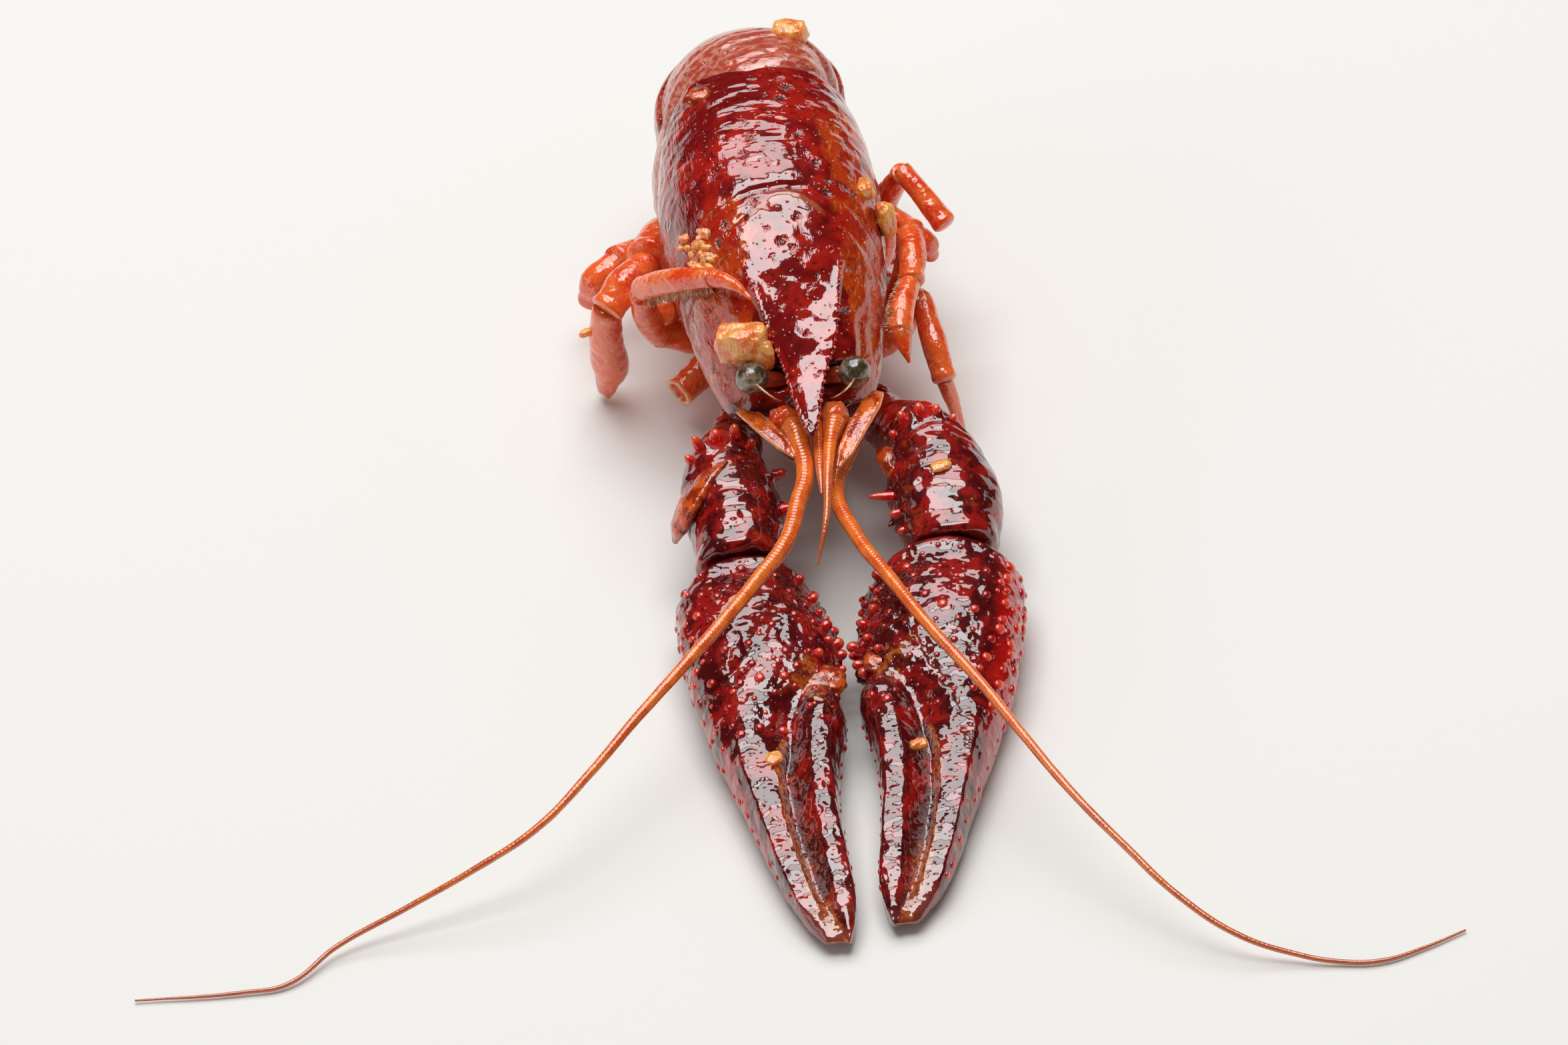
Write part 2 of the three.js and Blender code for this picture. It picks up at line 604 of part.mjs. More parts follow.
// One ring of the tail's armour: `place` runs from its front edge, 0, to its rear edge, 1.
function tailRing(row, place, grow = 0) {
  const [from, to, half, depth, lobe] = row;
  const reach = CURL_RADIUS + grow - TUCK * (1 - Math.min(1, place / 0.22)) ** 2;
  const tipDepth = THREE.MathUtils.lerp(depth, lobe, Math.sin(Math.PI * place ** 1.3) ** 0.6);
  const shoulder = SHOULDER * depth;
  const arch = even(0, Math.PI, 12);
  const outline = arch.map((angle) => [-half * Math.cos(angle), shoulder * (1 - Math.sin(angle))]);
  outline.push(
    [half * 0.98, (shoulder + tipDepth) / 2],
    [half * 0.9, tipDepth],
    [half * 0.78, Math.min(depth, tipDepth - 0.8)],
    [half * 0.3, depth - 1],
    [-half * 0.3, depth - 1],
    [-half * 0.78, Math.min(depth, tipDepth - 0.8)],
    [-half * 0.9, tipDepth],
    [-half * 0.98, (shoulder + tipDepth) / 2],
  );
  const edge = place === 0 ? 0.5 : place === 1 ? -0.5 : 0;
  const turn = THREE.MathUtils.lerp(from, to, place);
  const roll = radians(ROLL * Math.max(0, 1 - Math.max(0, turn) / LEVEL_FROM));
  return outline.map(([x, down]) => {
    const radius = reach - down * Math.cos(roll) + x * Math.sin(roll);
    const angle = radians(turn) + (edge * (GAP - 4 * grow)) / radius;
    const across = x * Math.cos(roll) - down * Math.sin(roll);
    return new THREE.Vector3(across, radius * Math.sin(angle), CURL_Z + radius * Math.cos(angle));
  });
}

const tail = new THREE.Group();
tail.position.set(TAIL_SHIFT, CURL_Y, 0);
tail.rotation.z = radians(TAIL_TURN);
tail.updateMatrix();
const outOfTail = tail.matrix.clone().invert();
const bodyFromTail = body.transform(outOfTail.elements);

TAIL_ROWS.forEach((row, i) => {
  const number = i + 1;
  const rings = even(0, 1, TAIL_STEPS).map((place) => tailRing(row, place));
  let segment = toSolid(skin(rings)).subtract(belowTable).subtract(bodyFromTail);
  if (number === TAIL_LUMP.segment) segment = segment.add(toSolid(lump(TAIL_LUMP, number), outOfTail));
  add(tail, `abdomen_${number}`, toGeometry(segment), 'tail');
});

const lastRings = even(0, 1, TAIL_STEPS).map((place) => tailRing(TAIL_ROWS.at(-1), place, GAP));
const lastSegment = toSolid(skin(lastRings));
const fanPlate = (size) => toGeometry(toSolid(plate(size)).subtract(belowTable).subtract(lastSegment));
add(tail, 'telson', fanPlate(FAN.telson), 'tail');
for (const name of ['uropod_inner', 'uropod_outer']) {
  const right = fanPlate(FAN[name]);
  add(tail, `${name}_right`, right, 'tail');
  add(tail, `${name}_left`, mirrored(right), 'tail');
}

const crayfish = new THREE.Group();
crayfish.add(trunk, tail);

// ---------------------------------------------------------------- claws

function clawPart(rows, steps, grow = 0) {
  const shape = between(rows);
  const first = rows[0][0];
  const last = rows.at(-1)[0];
  return skin(even(first - grow, last + grow, steps).map((station) => {
    const [outer, inner, top, bottom] = shape(station);
    const outline = { left: inner - grow, right: outer + grow, top: top + grow, bottom: bottom - grow };
    return ring(CLAW_SIDES, (angle) => {
      const [x, z] = ovalPoint(angle, { ...outline, level: 0.45 * top + 0.55 * bottom, power: 2.2 });
      return new THREE.Vector3(x, -station, z);
    });
  }));
}

// Blunt spines in a row along the inner edge of the palm, every other one higher.
function palmSpines() {
  const { count, from, to, radius, length } = PALM_SPINES;
  const shape = between(PALM_ROWS);
  const spines = even(from, to, count - 1).map((station, i) => {
    const [, inner, top, bottom] = shape(station);
    const cone = new THREE.ConeGeometry(radius, length, 6).rotateZ(Math.PI / 2);
    return toSolid(cone.translate(inner - 0.1, -station, 0.5 * (top + bottom) + radius * (i % 2)));
  });
  return spines.reduce((all, cone) => all.add(cone));
}

const palm = toSolid(clawPart(PALM_ROWS, PALM_STEPS))
  .subtract(toSolid(clawPart(FINGER_ROWS, FINGER_STEPS, GAP)))
  .add(palmSpines())
  .subtract(belowTable);
const movingFinger = toSolid(clawPart(FINGER_ROWS, FINGER_STEPS)).subtract(belowTable);

const handed = (geometry, side) => (side === 'left' ? mirrored(geometry) : geometry);
const wristRoom = {};
for (const [side, { at, turn, scale }] of Object.entries(WRISTS)) {
  const claw = new THREE.Group();
  claw.position.set(...at);
  claw.rotation.z = radians(turn);
  claw.scale.set(...scale);
  claw.updateMatrix();
  add(claw, `palm_${side}`, handed(toGeometry(palm), side), 'claw');
  add(claw, `moving_finger_${side}`, handed(toGeometry(movingFinger), side), 'claw');
  wristRoom[side] = toSolid(handed(clawPart(PALM_ROWS, PALM_STEPS, GAP), side), claw.matrix);
  crayfish.add(claw);
}

// ---------------------------------------------------------------- arms, legs and feelers

// Each part of an arm is cut back to the next one out, so that it holds its end as a socket does.
for (const [side, parts] of Object.entries(ARMS)) {
  let nextOut = wristRoom[side];
  for (const name of ['carpus', 'merus', 'ischium']) {
    let form = toSolid(limb(parts[name], ARM_STYLE)).subtract(body).subtract(nextOut);
    if (name === 'carpus') {
      const middle = vector(parts.carpus[2]);
      form = parts.spines.reduce((all, tip) => all.add(spine(middle, vector(tip), SPINE_ROOT)), form);
    }
    add(crayfish, `${name}_${side}`, toGeometry(form), 'claw');
    nextOut = toSolid(limb(parts[name], { ...ARM_STYLE, grow: GAP }));
  }
}
for (const [name, rows] of Object.entries(LEGS)) {
  add(crayfish, name, toGeometry(toSolid(limb(rows, LEG_STYLE)).subtract(body)), 'leg');
}
for (const [name, rows] of Object.entries(FEELERS)) {
  const style = { sides: 6, step: name.startsWith('antenna_') ? 6.5 : 2.5 };
  add(crayfish, name, toGeometry(toSolid(limb(rows, style)).subtract(body)), 'feeler');
}
for (const [name, rows] of Object.entries(MOUTH_PARTS)) {
  add(crayfish, name, toGeometry(toSolid(limb(rows)).subtract(body)), 'belly');
}
for (const [name, size] of Object.entries(SCALES)) {
  add(crayfish, name, toGeometry(toSolid(plate(size)).subtract(body)), 'feeler');
}

// ---------------------------------------------------------------- origin at the middle of the footprint

const box = new THREE.Box3().setFromObject(crayfish, true);
crayfish.position.set(-(box.min.x + box.max.x) / 2, -(box.min.y + box.max.y) / 2, -box.min.z);
const group = new THREE.Group();
group.add(crayfish);

export default group;
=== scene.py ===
"""Dresses the cooked crayfish: wet shells, beads, legs, feelers, eyes, garlic and the plain stage."""

import itertools
import math
import random
from contextlib import contextmanager

import bpy
import numpy as np
from bpy.props import FloatProperty, FloatVectorProperty, IntProperty, PointerProperty
from mathutils import Matrix, Vector
from mathutils.bvhtree import BVHTree


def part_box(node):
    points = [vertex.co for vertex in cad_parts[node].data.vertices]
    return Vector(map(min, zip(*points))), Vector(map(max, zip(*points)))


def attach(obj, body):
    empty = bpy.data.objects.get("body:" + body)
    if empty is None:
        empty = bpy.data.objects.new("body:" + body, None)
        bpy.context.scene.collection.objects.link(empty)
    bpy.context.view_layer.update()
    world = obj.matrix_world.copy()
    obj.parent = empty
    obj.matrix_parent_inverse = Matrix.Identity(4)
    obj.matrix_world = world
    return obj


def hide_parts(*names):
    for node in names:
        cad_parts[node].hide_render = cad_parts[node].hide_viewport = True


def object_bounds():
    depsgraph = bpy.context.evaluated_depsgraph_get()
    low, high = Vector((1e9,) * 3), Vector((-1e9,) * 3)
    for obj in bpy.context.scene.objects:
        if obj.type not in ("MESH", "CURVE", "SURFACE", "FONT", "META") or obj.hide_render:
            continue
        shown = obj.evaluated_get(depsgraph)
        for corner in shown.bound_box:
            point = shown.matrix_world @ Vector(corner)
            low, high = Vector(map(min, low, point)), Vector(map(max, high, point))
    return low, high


bl_info = {
    "name": "Cooked crayfish",
    "version": (1, 0, 0),
    "blender": (4, 5, 0),
    "location": "View3D > Sidebar > Crayfish",
    "description": "Skins, beads, feelers, toppings and stage for the cooked crayfish",
    "category": "Object",
}

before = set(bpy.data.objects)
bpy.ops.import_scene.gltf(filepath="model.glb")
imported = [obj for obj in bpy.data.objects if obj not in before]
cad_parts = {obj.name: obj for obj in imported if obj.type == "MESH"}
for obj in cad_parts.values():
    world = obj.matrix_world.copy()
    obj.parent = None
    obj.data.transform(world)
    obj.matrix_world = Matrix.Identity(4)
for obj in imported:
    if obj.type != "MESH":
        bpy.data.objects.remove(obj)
CAD_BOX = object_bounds()

# ---------------------------------------------------------------- places, in the body's own millimetres

MM = 0.001
MERGE = 0.002 * MM  # corners closer than this are one
# Lowest corner of the left palm, which ties the body's frame to the part's
PALM_CORNER = (-18.288, -112.2, 0.0)
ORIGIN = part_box("palm_left")[0] - Vector(PALM_CORNER) * MM
BODY = Matrix.Translation(ORIGIN) @ Matrix.Scale(MM, 4)

# The trunk's own frame: x across, -y forward from the carapace's rear edge, z up from that edge.
REAR_HEIGHT = 34.0
PITCH = math.radians(17)
ROLL = math.radians(8)
TILT = Matrix.Rotation(PITCH, 4, "X") @ Matrix.Rotation(ROLL, 4, "Y")
TRUNK = BODY @ Matrix.Translation((0, 0, REAR_HEIGHT)) @ TILT

# The tail's own frame is turned about its root, and its rings curl down round a level axis at this height.
TAIL_ROOT = (-0.6, 2.6, 0)
TAIL_TURN = math.radians(8)
TAIL = BODY @ Matrix.Translation(TAIL_ROOT) @ Matrix.Rotation(TAIL_TURN, 4, "Z")
CURL_HEIGHT = 16.8
# How far a ring's edges are drawn over and under its neighbours, in degrees of the curl
REAR_LAP = 2.4
FRONT_LAP = 1.2
FIRST_FRONT_LAP = 3.8
SHEEN_RINGS = 2  # how many rings behind the carapace get the painted sheen at full strength; the others get it at half
FAN = ("telson", "uropod_inner_left", "uropod_inner_right", "uropod_outer_left", "uropod_outer_right")

# Which way lies outwards along x
OUTWARDS = {"left": -1, "right": 1}

# A claw's own frame: x outwards, -y forward from the wrist. The scale's sign mirrors the left one.
WRISTS = {
    "left": {"at": (-9.4, -57.4, 0), "turn": 3.4, "scale": (-0.94, 0.98, 1)},
    "right": {"at": (12.3, -58.8, 0), "turn": -9.6, "scale": (1, 0.94, 1)},
}

# Neck groove: its station on the middle of the back, the radius of its bend and the slope of its arms
GROOVE_TOP = 20.0
GROOVE_BEND = 2.4
GROOVE_SLOPE = 1.05
# Margins of the beak: station, half width, height
BEAK_MARGIN = [
    (29, 5.9, 3.7), (33, 5.2, 3.6), (37, 4.0, 2.8), (42, 2.6, 1.4), (46, 1.7, 0.6), (50, 0.7, 0.15),
]
# How much wider the beak is on its right, and the station and the length of that bulge
BEAK_BULGE = 0.85
BULGE_PLACE = (39, 4.5)

# The right eye, in the trunk's frame: its middle, its radius, and place and radius along its bristle
EYE_PLACE = (5.9, -42.4, -0.3)
EYE_RADIUS = 1.85
EYE_BRISTLE = [
    (5.6, -43.9, 0.6, 0.14), (4.6, -45.2, 0.7, 0.12), (3.6, -45.6, 0.0, 0.09), (2.8, -45.4, -0.9, 0.05),
]

# A claw's two shut fingers, in the claw's own frame: station, cleft, flat crest of the fixed finger, crest
# of the moving finger, and the heights of both crests
FINGER_LINES = [
    (22, -2.6, 4.9, -5.4, 9.0, 8.6), (27, -0.8, 4.4, -4.4, 8.1, 8.7), (32, 0.7, 4.0, -3.4, 7.3, 7.9),
    (38, 1.0, 3.3, -2.7, 6.5, 7.0), (45, 0.5, 2.4, -2.7, 5.4, 5.8), (51, -0.5, 1.1, -2.7, 4.0, 4.2),
    (56, -1.7, -0.6, -2.7, 2.4, 2.5),
]
# The fingers' common tip: its station, where it lies across, and how fast the outline falls back from it
# on the inner and the outer side
TIP_STATION = 56.8
TIP_MIDDLE = -1.7
TIP_FALL = (0.94, 0.21)

# Middle of each wrist, how far the shells are filled out there on either side, and how far the outer side
# behind it is drawn in
WRIST_FILL = {
    "left": {"at": (-9.9, -58.6), "outer": 1.5, "inner": 1.2, "drawn": 1.1},
    "right": {"at": (13.4, -60.6), "outer": 1.9, "inner": 1.2, "drawn": 0.0},
}

# Middle line of each arm, which its curved folds cross
ARM_MIDDLE = {"left": -10.3, "right": 13.4}
# Blunt spines of the arms: place, direction, radius and height
ARM_SPINES = {
    "left": [
        ((-4.6, -45.5, 11.4), (1, 0, 0.2), 0.7, 1.3), ((-4.1, -50.2, 10.2), (1, 0, 0.2), 0.8, 1.5),
        ((-4.6, -54.4, 9.2), (1, -0.3, 0.2), 0.7, 1.2), ((-8.6, -41.6, 14.9), (0.1, 0.3, 1), 0.75, 1.3),
        ((-10.8, -42.0, 15.0), (0, 0.3, 1), 0.8, 1.2), ((-12.9, -42.4, 14.6), (-0.4, 0.3, 1), 0.7, 1.4),
        ((-7.0, -42.6, 13.8), (0.5, 0.2, 0.8), 0.6, 1.0), ((-14.0, -43.8, 13.8), (-0.6, 0.1, 0.8), 0.6, 0.9),
    ],
    "right": [
        ((8.6, -46.0, 12.0), (-1, 0.1, 0.3), 0.8, 1.4), ((7.9, -51.4, 11.0), (-1, -0.05, 0.2), 0.62, 2.7),
        ((8.4, -54.0, 10.6), (-1, -0.2, 0.2), 0.6, 1.1), ((8.9, -55.8, 9.6), (-1, -0.3, 0.2), 0.5, 0.9),
        ((10.6, -42.3, 14.1), (-0.4, 0.4, 1), 0.7, 1.3), ((12.4, -42.3, 14.8), (0, 0.4, 1), 0.75, 1.4),
        ((14.3, -42.6, 14.7), (0.2, 0.4, 1), 0.7, 1.2), ((16.0, -43.4, 14.0), (0.5, 0.3, 1), 0.65, 1.0),
        ((9.4, -44.0, 13.4), (-0.7, 0.3, 0.7), 0.6, 1.0),
    ],
}

# Beads on a palm, in the claw's own millimetres: the field that they lie in and how many are tried there
PALM_FIELD = {"across": (-8.5, 9.5), "along": (1.5, 27), "above": 16, "tries": 1800}
# Beads along a claw's edges: the edge (-1 inner, 1 outer), their heights, first and last station and pace,
# and a bead's radius over a middling one's, its height over its radius and its brightness
EDGE_BEADS = {
    side: [
        (-1, (6.0, 8.4), 3, 19, 2.1, 1.5, 1.2, 1.5),
        (-1, (2.6, 4.4), 3, 20, 2.2, 1.2, 1.0, 1.2),
        (1, (3.0, 5.0, 7.0, 8.6), 2.5, 26, outer_pace, outer_size, 0.45, 1.6),
        (1, (3.4,), 26, 50, 2.4, 0.9, 0.5, 1.3),
        (-1, (3.6,), 22, 52, 1.9, 0.9, 0.45, 1.2),
    ]
    for side, outer_pace, outer_size in (("left", 3.0, 1.0), ("right", 1.9, 1.5))
}
BESIDE_CLAW = 20  # how far beside a claw's middle line the search for their places starts

# Walking legs, joint by joint: place and radius along each joint's shell
LEGS = {
    "leg_left_1": [
        [(-4.0, -16.5, 8.2, 2.0), (-9.5, -19.2, 7.4, 1.9), (-14.4, -22.9, 6.3, 1.8)],
    ],
    "leg_left_2": [
        [(-4.0, -15.4, 8.6, 2.0), (-11.4, -15.6, 8.2, 1.8), (-15.5, -17.1, 11.0, 1.8)],
        [(-15.4, -16.9, 10.6, 1.7), (-16.8, -19.8, 16.0, 1.65), (-16.9, -21.4, 20.4, 1.5)],
        [(-14.0, -14.8, 12.2, 1.5), (-15.1, -18.2, 14.9, 1.7)],
        [(-17.1, -22.0, 21.8, 1.45), (-12.8, -26.4, 26.0, 1.4), (-8.9, -29.4, 28.2, 1.25)],
        [(-9.0, -29.3, 28.2, 1.05), (-6.6, -31.8, 28.8, 0.8), (-4.6, -34.2, 28.1, 0.2)],
    ],
    "leg_left_3": [
        [(-4.0, -10.0, 9.8, 2.0), (-10.6, -9.6, 9.0, 2.0), (-12.4, -5.2, 13.2, 2.1)],
        [(-11.8, -3.6, 14.4, 1.9), (-13.8, -7.6, 17.0, 2.75), (-15.8, -12.4, 18.3, 2.5)],
        [(-15.6, -12.4, 17.6, 1.9), (-18.8, -15.8, 17.7, 2.25), (-21.2, -17.9, 16.2, 2.05)],
        [
            (-21.2, -17.7, 16.2, 1.8), (-21.8, -16.8, 11.5, 2.05), (-21.8, -15.7, 6.5, 2.2),
            (-21.9, -14.9, 3.0, 1.8),
        ],
    ],
    "leg_left_4": [
        [(-4.0, -4.0, 11.4, 1.9), (-10.6, -2.0, 10.2, 1.8), (-16.1, 0.9, 9.3, 1.8)],
        [(-15.8, 0.7, 9.3, 1.7), (-19.5, -3.0, 10.8, 1.95)],
        [(-19.2, -2.7, 10.7, 1.7), (-22.2, -4.4, 9.4, 1.95), (-23.1, -4.1, 6.6, 1.6)],
    ],
    "leg_right_1": [
        [(3.0, -20.8, 8.0, 2.0), (10.2, -20.6, 8.2, 1.8), (15.0, -20.9, 14.0, 1.4)],
        [(14.9, -20.5, 13.8, 1.25), (15.6, -26.2, 11.8, 1.55), (16.2, -29.8, 9.0, 1.4)],
        [(16.1, -29.6, 9.2, 0.95), (16.9, -30.3, 5.6, 0.85), (17.6, -31.1, 1.4, 0.4)],
    ],
    "leg_right_2": [
        [
            (3.0, -15.4, 8.6, 2.0), (10.6, -16.0, 9.0, 1.8), (13.6, -16.9, 14.4, 1.7),
            (14.6, -16.5, 20.2, 1.5),
        ],
        [(14.6, -16.6, 20.6, 1.35), (14.5, -21.1, 20.6, 1.6), (13.9, -24.7, 20.0, 1.5)],
        [(13.9, -24.5, 20.0, 1.15), (12.4, -28.6, 19.5, 1.4), (11.7, -31.8, 18.6, 1.45)],
        [(11.7, -31.5, 18.8, 1.3), (11.9, -33.2, 17.5, 0.9), (12.2, -34.8, 16.2, 0.2)],
    ],
    "leg_right_3": [
        [(3.0, -10.0, 9.8, 2.0), (10.0, -9.6, 10.2, 1.6), (13.0, -7.7, 16.4, 1.3)],
        [(12.8, -7.4, 16.3, 1.2), (15.3, -11.8, 16.6, 1.3)],
        [(15.1, -11.5, 16.7, 1.1), (16.8, -12.1, 14.6, 1.15), (17.0, -11.7, 12.6, 1.0)],
    ],
    "leg_right_4": [
        [
            (3.0, -4.0, 11.4, 1.9), (10.4, -3.0, 11.2, 1.7), (13.2, -4.7, 17.0, 1.5),
            (14.9, -6.7, 21.2, 1.35),
        ],
        [(14.8, -6.3, 21.6, 1.25), (16.9, -9.4, 19.6, 1.3), (18.9, -12.0, 17.4, 1.4)],
    ],
}
# Legs that are cut through or torn off at their end
LEG_CUTS = {"leg_left_1": "open", "leg_left_3": "torn"}
# Flared, rounded end of a leg's joint: distances back from its last place, and radii over the last one
LEG_END = ((1.0, 0.97), (0.2, 1.04), (-0.15, 1.0), (-0.4, 0.76), (-0.5, 0.4))
POINTED = 0.5  # a joint that ends thinner than this runs out in a point
# Hairs on the legs: the joint that carries them, the way that they lie from its middle line, their length
LEG_HAIRS = {
    "leg_left_2": (3, (0, -1.2, -1.6), 1.1), "leg_right_2": (2, (-1.2, -0.3, 0.3), 0.6),
}
HAIRS_EACH = 200

# Feelers: place and radius along each
FEELERS = {
    "antenna_left": [
        (-4.2, -41.2, 15.0, 1.9), (-2.2, -43.0, 16.2, 1.5), (-1.5, -46.9, 16.0, 1.15),
        (-1.4, -50.9, 15.6, 1.0), (-2.7, -55.4, 15.4, 0.98), (-4.5, -61.2, 15.2, 0.94),
        (-7.8, -66.1, 15.0, 0.86), (-13.3, -73.2, 14.6, 0.74), (-18.6, -78.9, 13.6, 0.66),
        (-23.9, -84.1, 12.2, 0.58), (-29.3, -89.4, 10.4, 0.5), (-35.9, -94.7, 8.2, 0.44),
        (-43.4, -97.4, 5.8, 0.38), (-51.2, -99.4, 3.4, 0.34), (-59.0, -101.8, 1.5, 0.3),
        (-64.8, -105.7, 0.6, 0.27), (-69.4, -105.9, 0.5, 0.24), (-81.4, -104.8, 0.4, 0.13),
    ],
    "antenna_right": [
        (4.8, -42.4, 14.2, 1.7), (3.2, -46.6, 13.6, 1.3), (1.8, -51.5, 13.4, 1.0),
        (3.3, -60.6, 14.0, 0.86), (6.3, -69.1, 14.4, 0.74), (10.1, -78.6, 14.3, 0.64),
        (14.0, -86.3, 13.4, 0.58), (17.7, -94.3, 12.2, 0.52), (22.2, -102.9, 10.2, 0.47),
        (26.9, -109.7, 7.8, 0.42), (31.6, -115.5, 5.2, 0.38), (37.4, -120.3, 2.8, 0.34),
        (42.7, -122.5, 1.3, 0.31), (47.2, -123.9, 0.6, 0.28), (51.8, -124.6, 0.5, 0.26),
        (56.7, -123.4, 0.4, 0.2), (61.4, -121.6, 0.35, 0.12),
    ],
    "antennule_left": [
        (0.7, -42.8, 16.4, 0.9), (0.5, -47.7, 16.2, 0.62), (0.3, -51.4, 16.2, 0.5), (0.1, -54.7, 15.6, 0.2),
    ],
    "antennule_right": [
        (2.9, -42.0, 16.4, 1.5), (2.6, -44.6, 17.0, 1.25), (2.0, -47.2, 17.0, 0.8), (1.1, -52.8, 16.8, 0.52),
        (0.2, -58.3, 15.2, 0.4), (-1.4, -62.7, 12.4, 0.14),
    ],
}

# Thin blades: their middle line with half widths, the way they face, and their thickness over their width
BLADES = {
    "antennal_scale_left": ([
        (-7.5, -40.6, 17.4, 0.7), (-6.4, -42.2, 17.6, 1.1), (-4.9, -44.7, 17.5, 1.15),
        (-3.3, -47.0, 16.9, 0.95), (-2.3, -48.6, 16.3, 0.2),
    ], (0.15, -0.1, 1), 0.28),
    "antennal_scale_right": ([
        (8.0, -41.0, 17.6, 0.8), (7.0, -43.2, 17.8, 1.25), (5.1, -46.6, 17.6, 1.25),
        (3.5, -49.4, 16.9, 1.0), (2.4, -51.2, 16.2, 0.2),
    ], (-0.15, -0.1, 1), 0.28),
}
TAIL_FLAP = ([
    (-9.6, 9.6, 25.0, 1.2), (-11.6, 6.0, 22.6, 2.4), (-12.9, 1.4, 20.8, 2.9),
    (-13.4, -3.0, 19.2, 2.3), (-13.5, -6.2, 18.0, 0.5),
], (-0.95, 0, 0.3), 0.24)
WRIST_FLAP = ([
    (-10.0, -46.2, 15.0, 0.5), (-12.6, -48.2, 14.3, 1.3), (-14.9, -50.0, 12.5, 1.8),
    (-16.3, -50.8, 10.2, 1.5), (-17.0, -51.2, 8.4, 0.4),
], (-0.68, -0.12, 0.72), 0.4)

# Garlic and sauce that stick to the shells: place, half sizes, turn about the upright, squareness, finish
TOPPINGS = {
    "garlic_cheek": ((-6.4, -37.6, 24.8), (3.1, 2.0, 2.3), -14, 0.7, "garlic"),
    "garlic_cheek_end": ((-4.3, -38.8, 23.6), (1.3, 1.2, 2.0), 10, 0.4, "garlic"),
    "garlic_side": ((9.9, -17.3, 28.2), (1.1, 1.5, 1.15), 20, 0.4, "garlic"),
    "garlic_flank": ((12.0, -19.6, 25.2), (1.1, 1.4, 2.3), 20, 0.3, "garlic"),
    "garlic_rear": ((-7.4, -2.8, 33.2), (1.9, 1.3, 1.0), 15, 0.1, "sauce"),
    "garlic_tail": ((4.2, 8.7, 31.9), (2.1, 1.6, 1.5), -10, 0.3, "garlic"),
    "garlic_leg": ((-24.0, -17.0, 12.3), (0.9, 0.45, 0.5), 20, 0.3, "garlic"),
    "sauce_arm": ((8.3, -46.8, 12.2), (1.3, 2.4, 1.1), 10, 0.1, "sauce"),
    "garlic_wrist": ((13.8, -51.4, 14.5), (1.2, 0.8, 0.5), 12, 0.2, "garlic"),
    "sauce_knuckle_left": ((-3.1, -76.2, 6.9), (3.2, 2.3, 1.3), -12, 0.1, "sauce"),
    "sauce_knuckle_right": ((3.7, -74.6, 7.6), (1.7, 1.7, 0.8), 10, 0.1, "sauce"),
    "garlic_finger_left": ((-9.3, -87.6, 7.1), (1.1, 1.0, 0.5), 40, 0.2, "garlic"),
    "garlic_finger_right": ((6.7, -88.3, 7.0), (1.1, 0.8, 0.5), 0, 0.2, "garlic"),
    "root_left": ((-2.9, -42.3, 17.0), (1.6, 1.4, 1.3), 0, 0.1, "root"),
    "root_right": ((2.9, -43.0, 17.2), (1.5, 1.5, 1.3), 0, 0.1, "root"),
}
# Minced garlic beside the leg on the left cheek: middle, spread, how many
MINCE = {"at": (-9.9, -25.0, 27.9), "spread": 2.8, "count": 26}

# Soft boxes: place and target in the body's millimetres, width and depth in metres, power in watts
SOFTBOXES = {
    "overhead_softbox": ((0, 0, 1000), (0, -20, 20), 0.82, 0.48, 5.9),
    "rear_softbox": ((0, 560, 930), (0, -20, 20), 0.86, 0.5, 4.5),
    "left_softbox": ((-900, -250, 350), (0, -40, 15), 0.7, 0.5, 0.9),
}
ROOM_COLOUR = "f4f4f2"
ROOM_STRENGTH = 0.25

# Camera, in the body's millimetres: it looks down 39 degrees, turned 12 degrees to the right. From there
# it swings to a pixel of a picture, whose size and focal length are in pixels too.
CAMERA_PLACE = (-11.7, -692.0, 569.5)
CAMERA_DOWN = math.radians(39)
CAMERA_TURN = math.radians(-12)
CAMERA_LENS = 173.0
SENSOR_WIDTH = 36
PICTURE = (2352, 1568)
FOCAL_PIXELS = 4573.0
AIM_PIXEL = (490, 1002)

# Swelling a skin back to its solid: how far a point may move in and out, how often the moves are evened
# out with their neighbours', and how often a claw's skin is smoothed after its gaps are closed
SWELL_LIMITS = (-0.5 * MM, 1.5 * MM)
EVENING_ROUNDS = 50
SETTLING_ROUNDS = 14

# Large odd numbers that scatter the ripples: one for each axis, one for the seed and one to mix them
AXIS_KEYS = (73856093, 19349663, 83492791)
SEED_KEY = 2654435761
MIXING_KEY = 1274126177


def linear(code):
    """An sRGB hex colour as linear red, green, blue and alpha."""
    parts = [int(code[i:i + 2], 16) / 255 for i in (0, 2, 4)]
    return tuple(p / 12.92 if p <= 0.04045 else ((p + 0.055) / 1.055) ** 2.4 for p in parts) + (1.0,)


def claw_frame(side):
    """The matrix from a claw's own millimetres to the part's metres."""
    wrist = WRISTS[side]
    turn = Matrix.Rotation(math.radians(wrist["turn"]), 4, "Z")
    return BODY @ Matrix.Translation(wrist["at"]) @ turn @ Matrix.Diagonal((*wrist["scale"], 1))


# ---------------------------------------------------------------- properties


def length_setting(name, description, default, least, most):
    """A length that a user can set, given in millimetres and kept in metres."""
    return FloatProperty(
        name=name, description=description, default=default * MM, min=least * MM, max=most * MM,
        precision=5, unit="LENGTH")


def colour_setting(name, description, code):
    """A colour that a user can set. Its default is an sRGB hex colour."""
    return FloatVectorProperty(
        name=name, description=description, default=linear(code), subtype="COLOR", size=4, min=0, max=1)


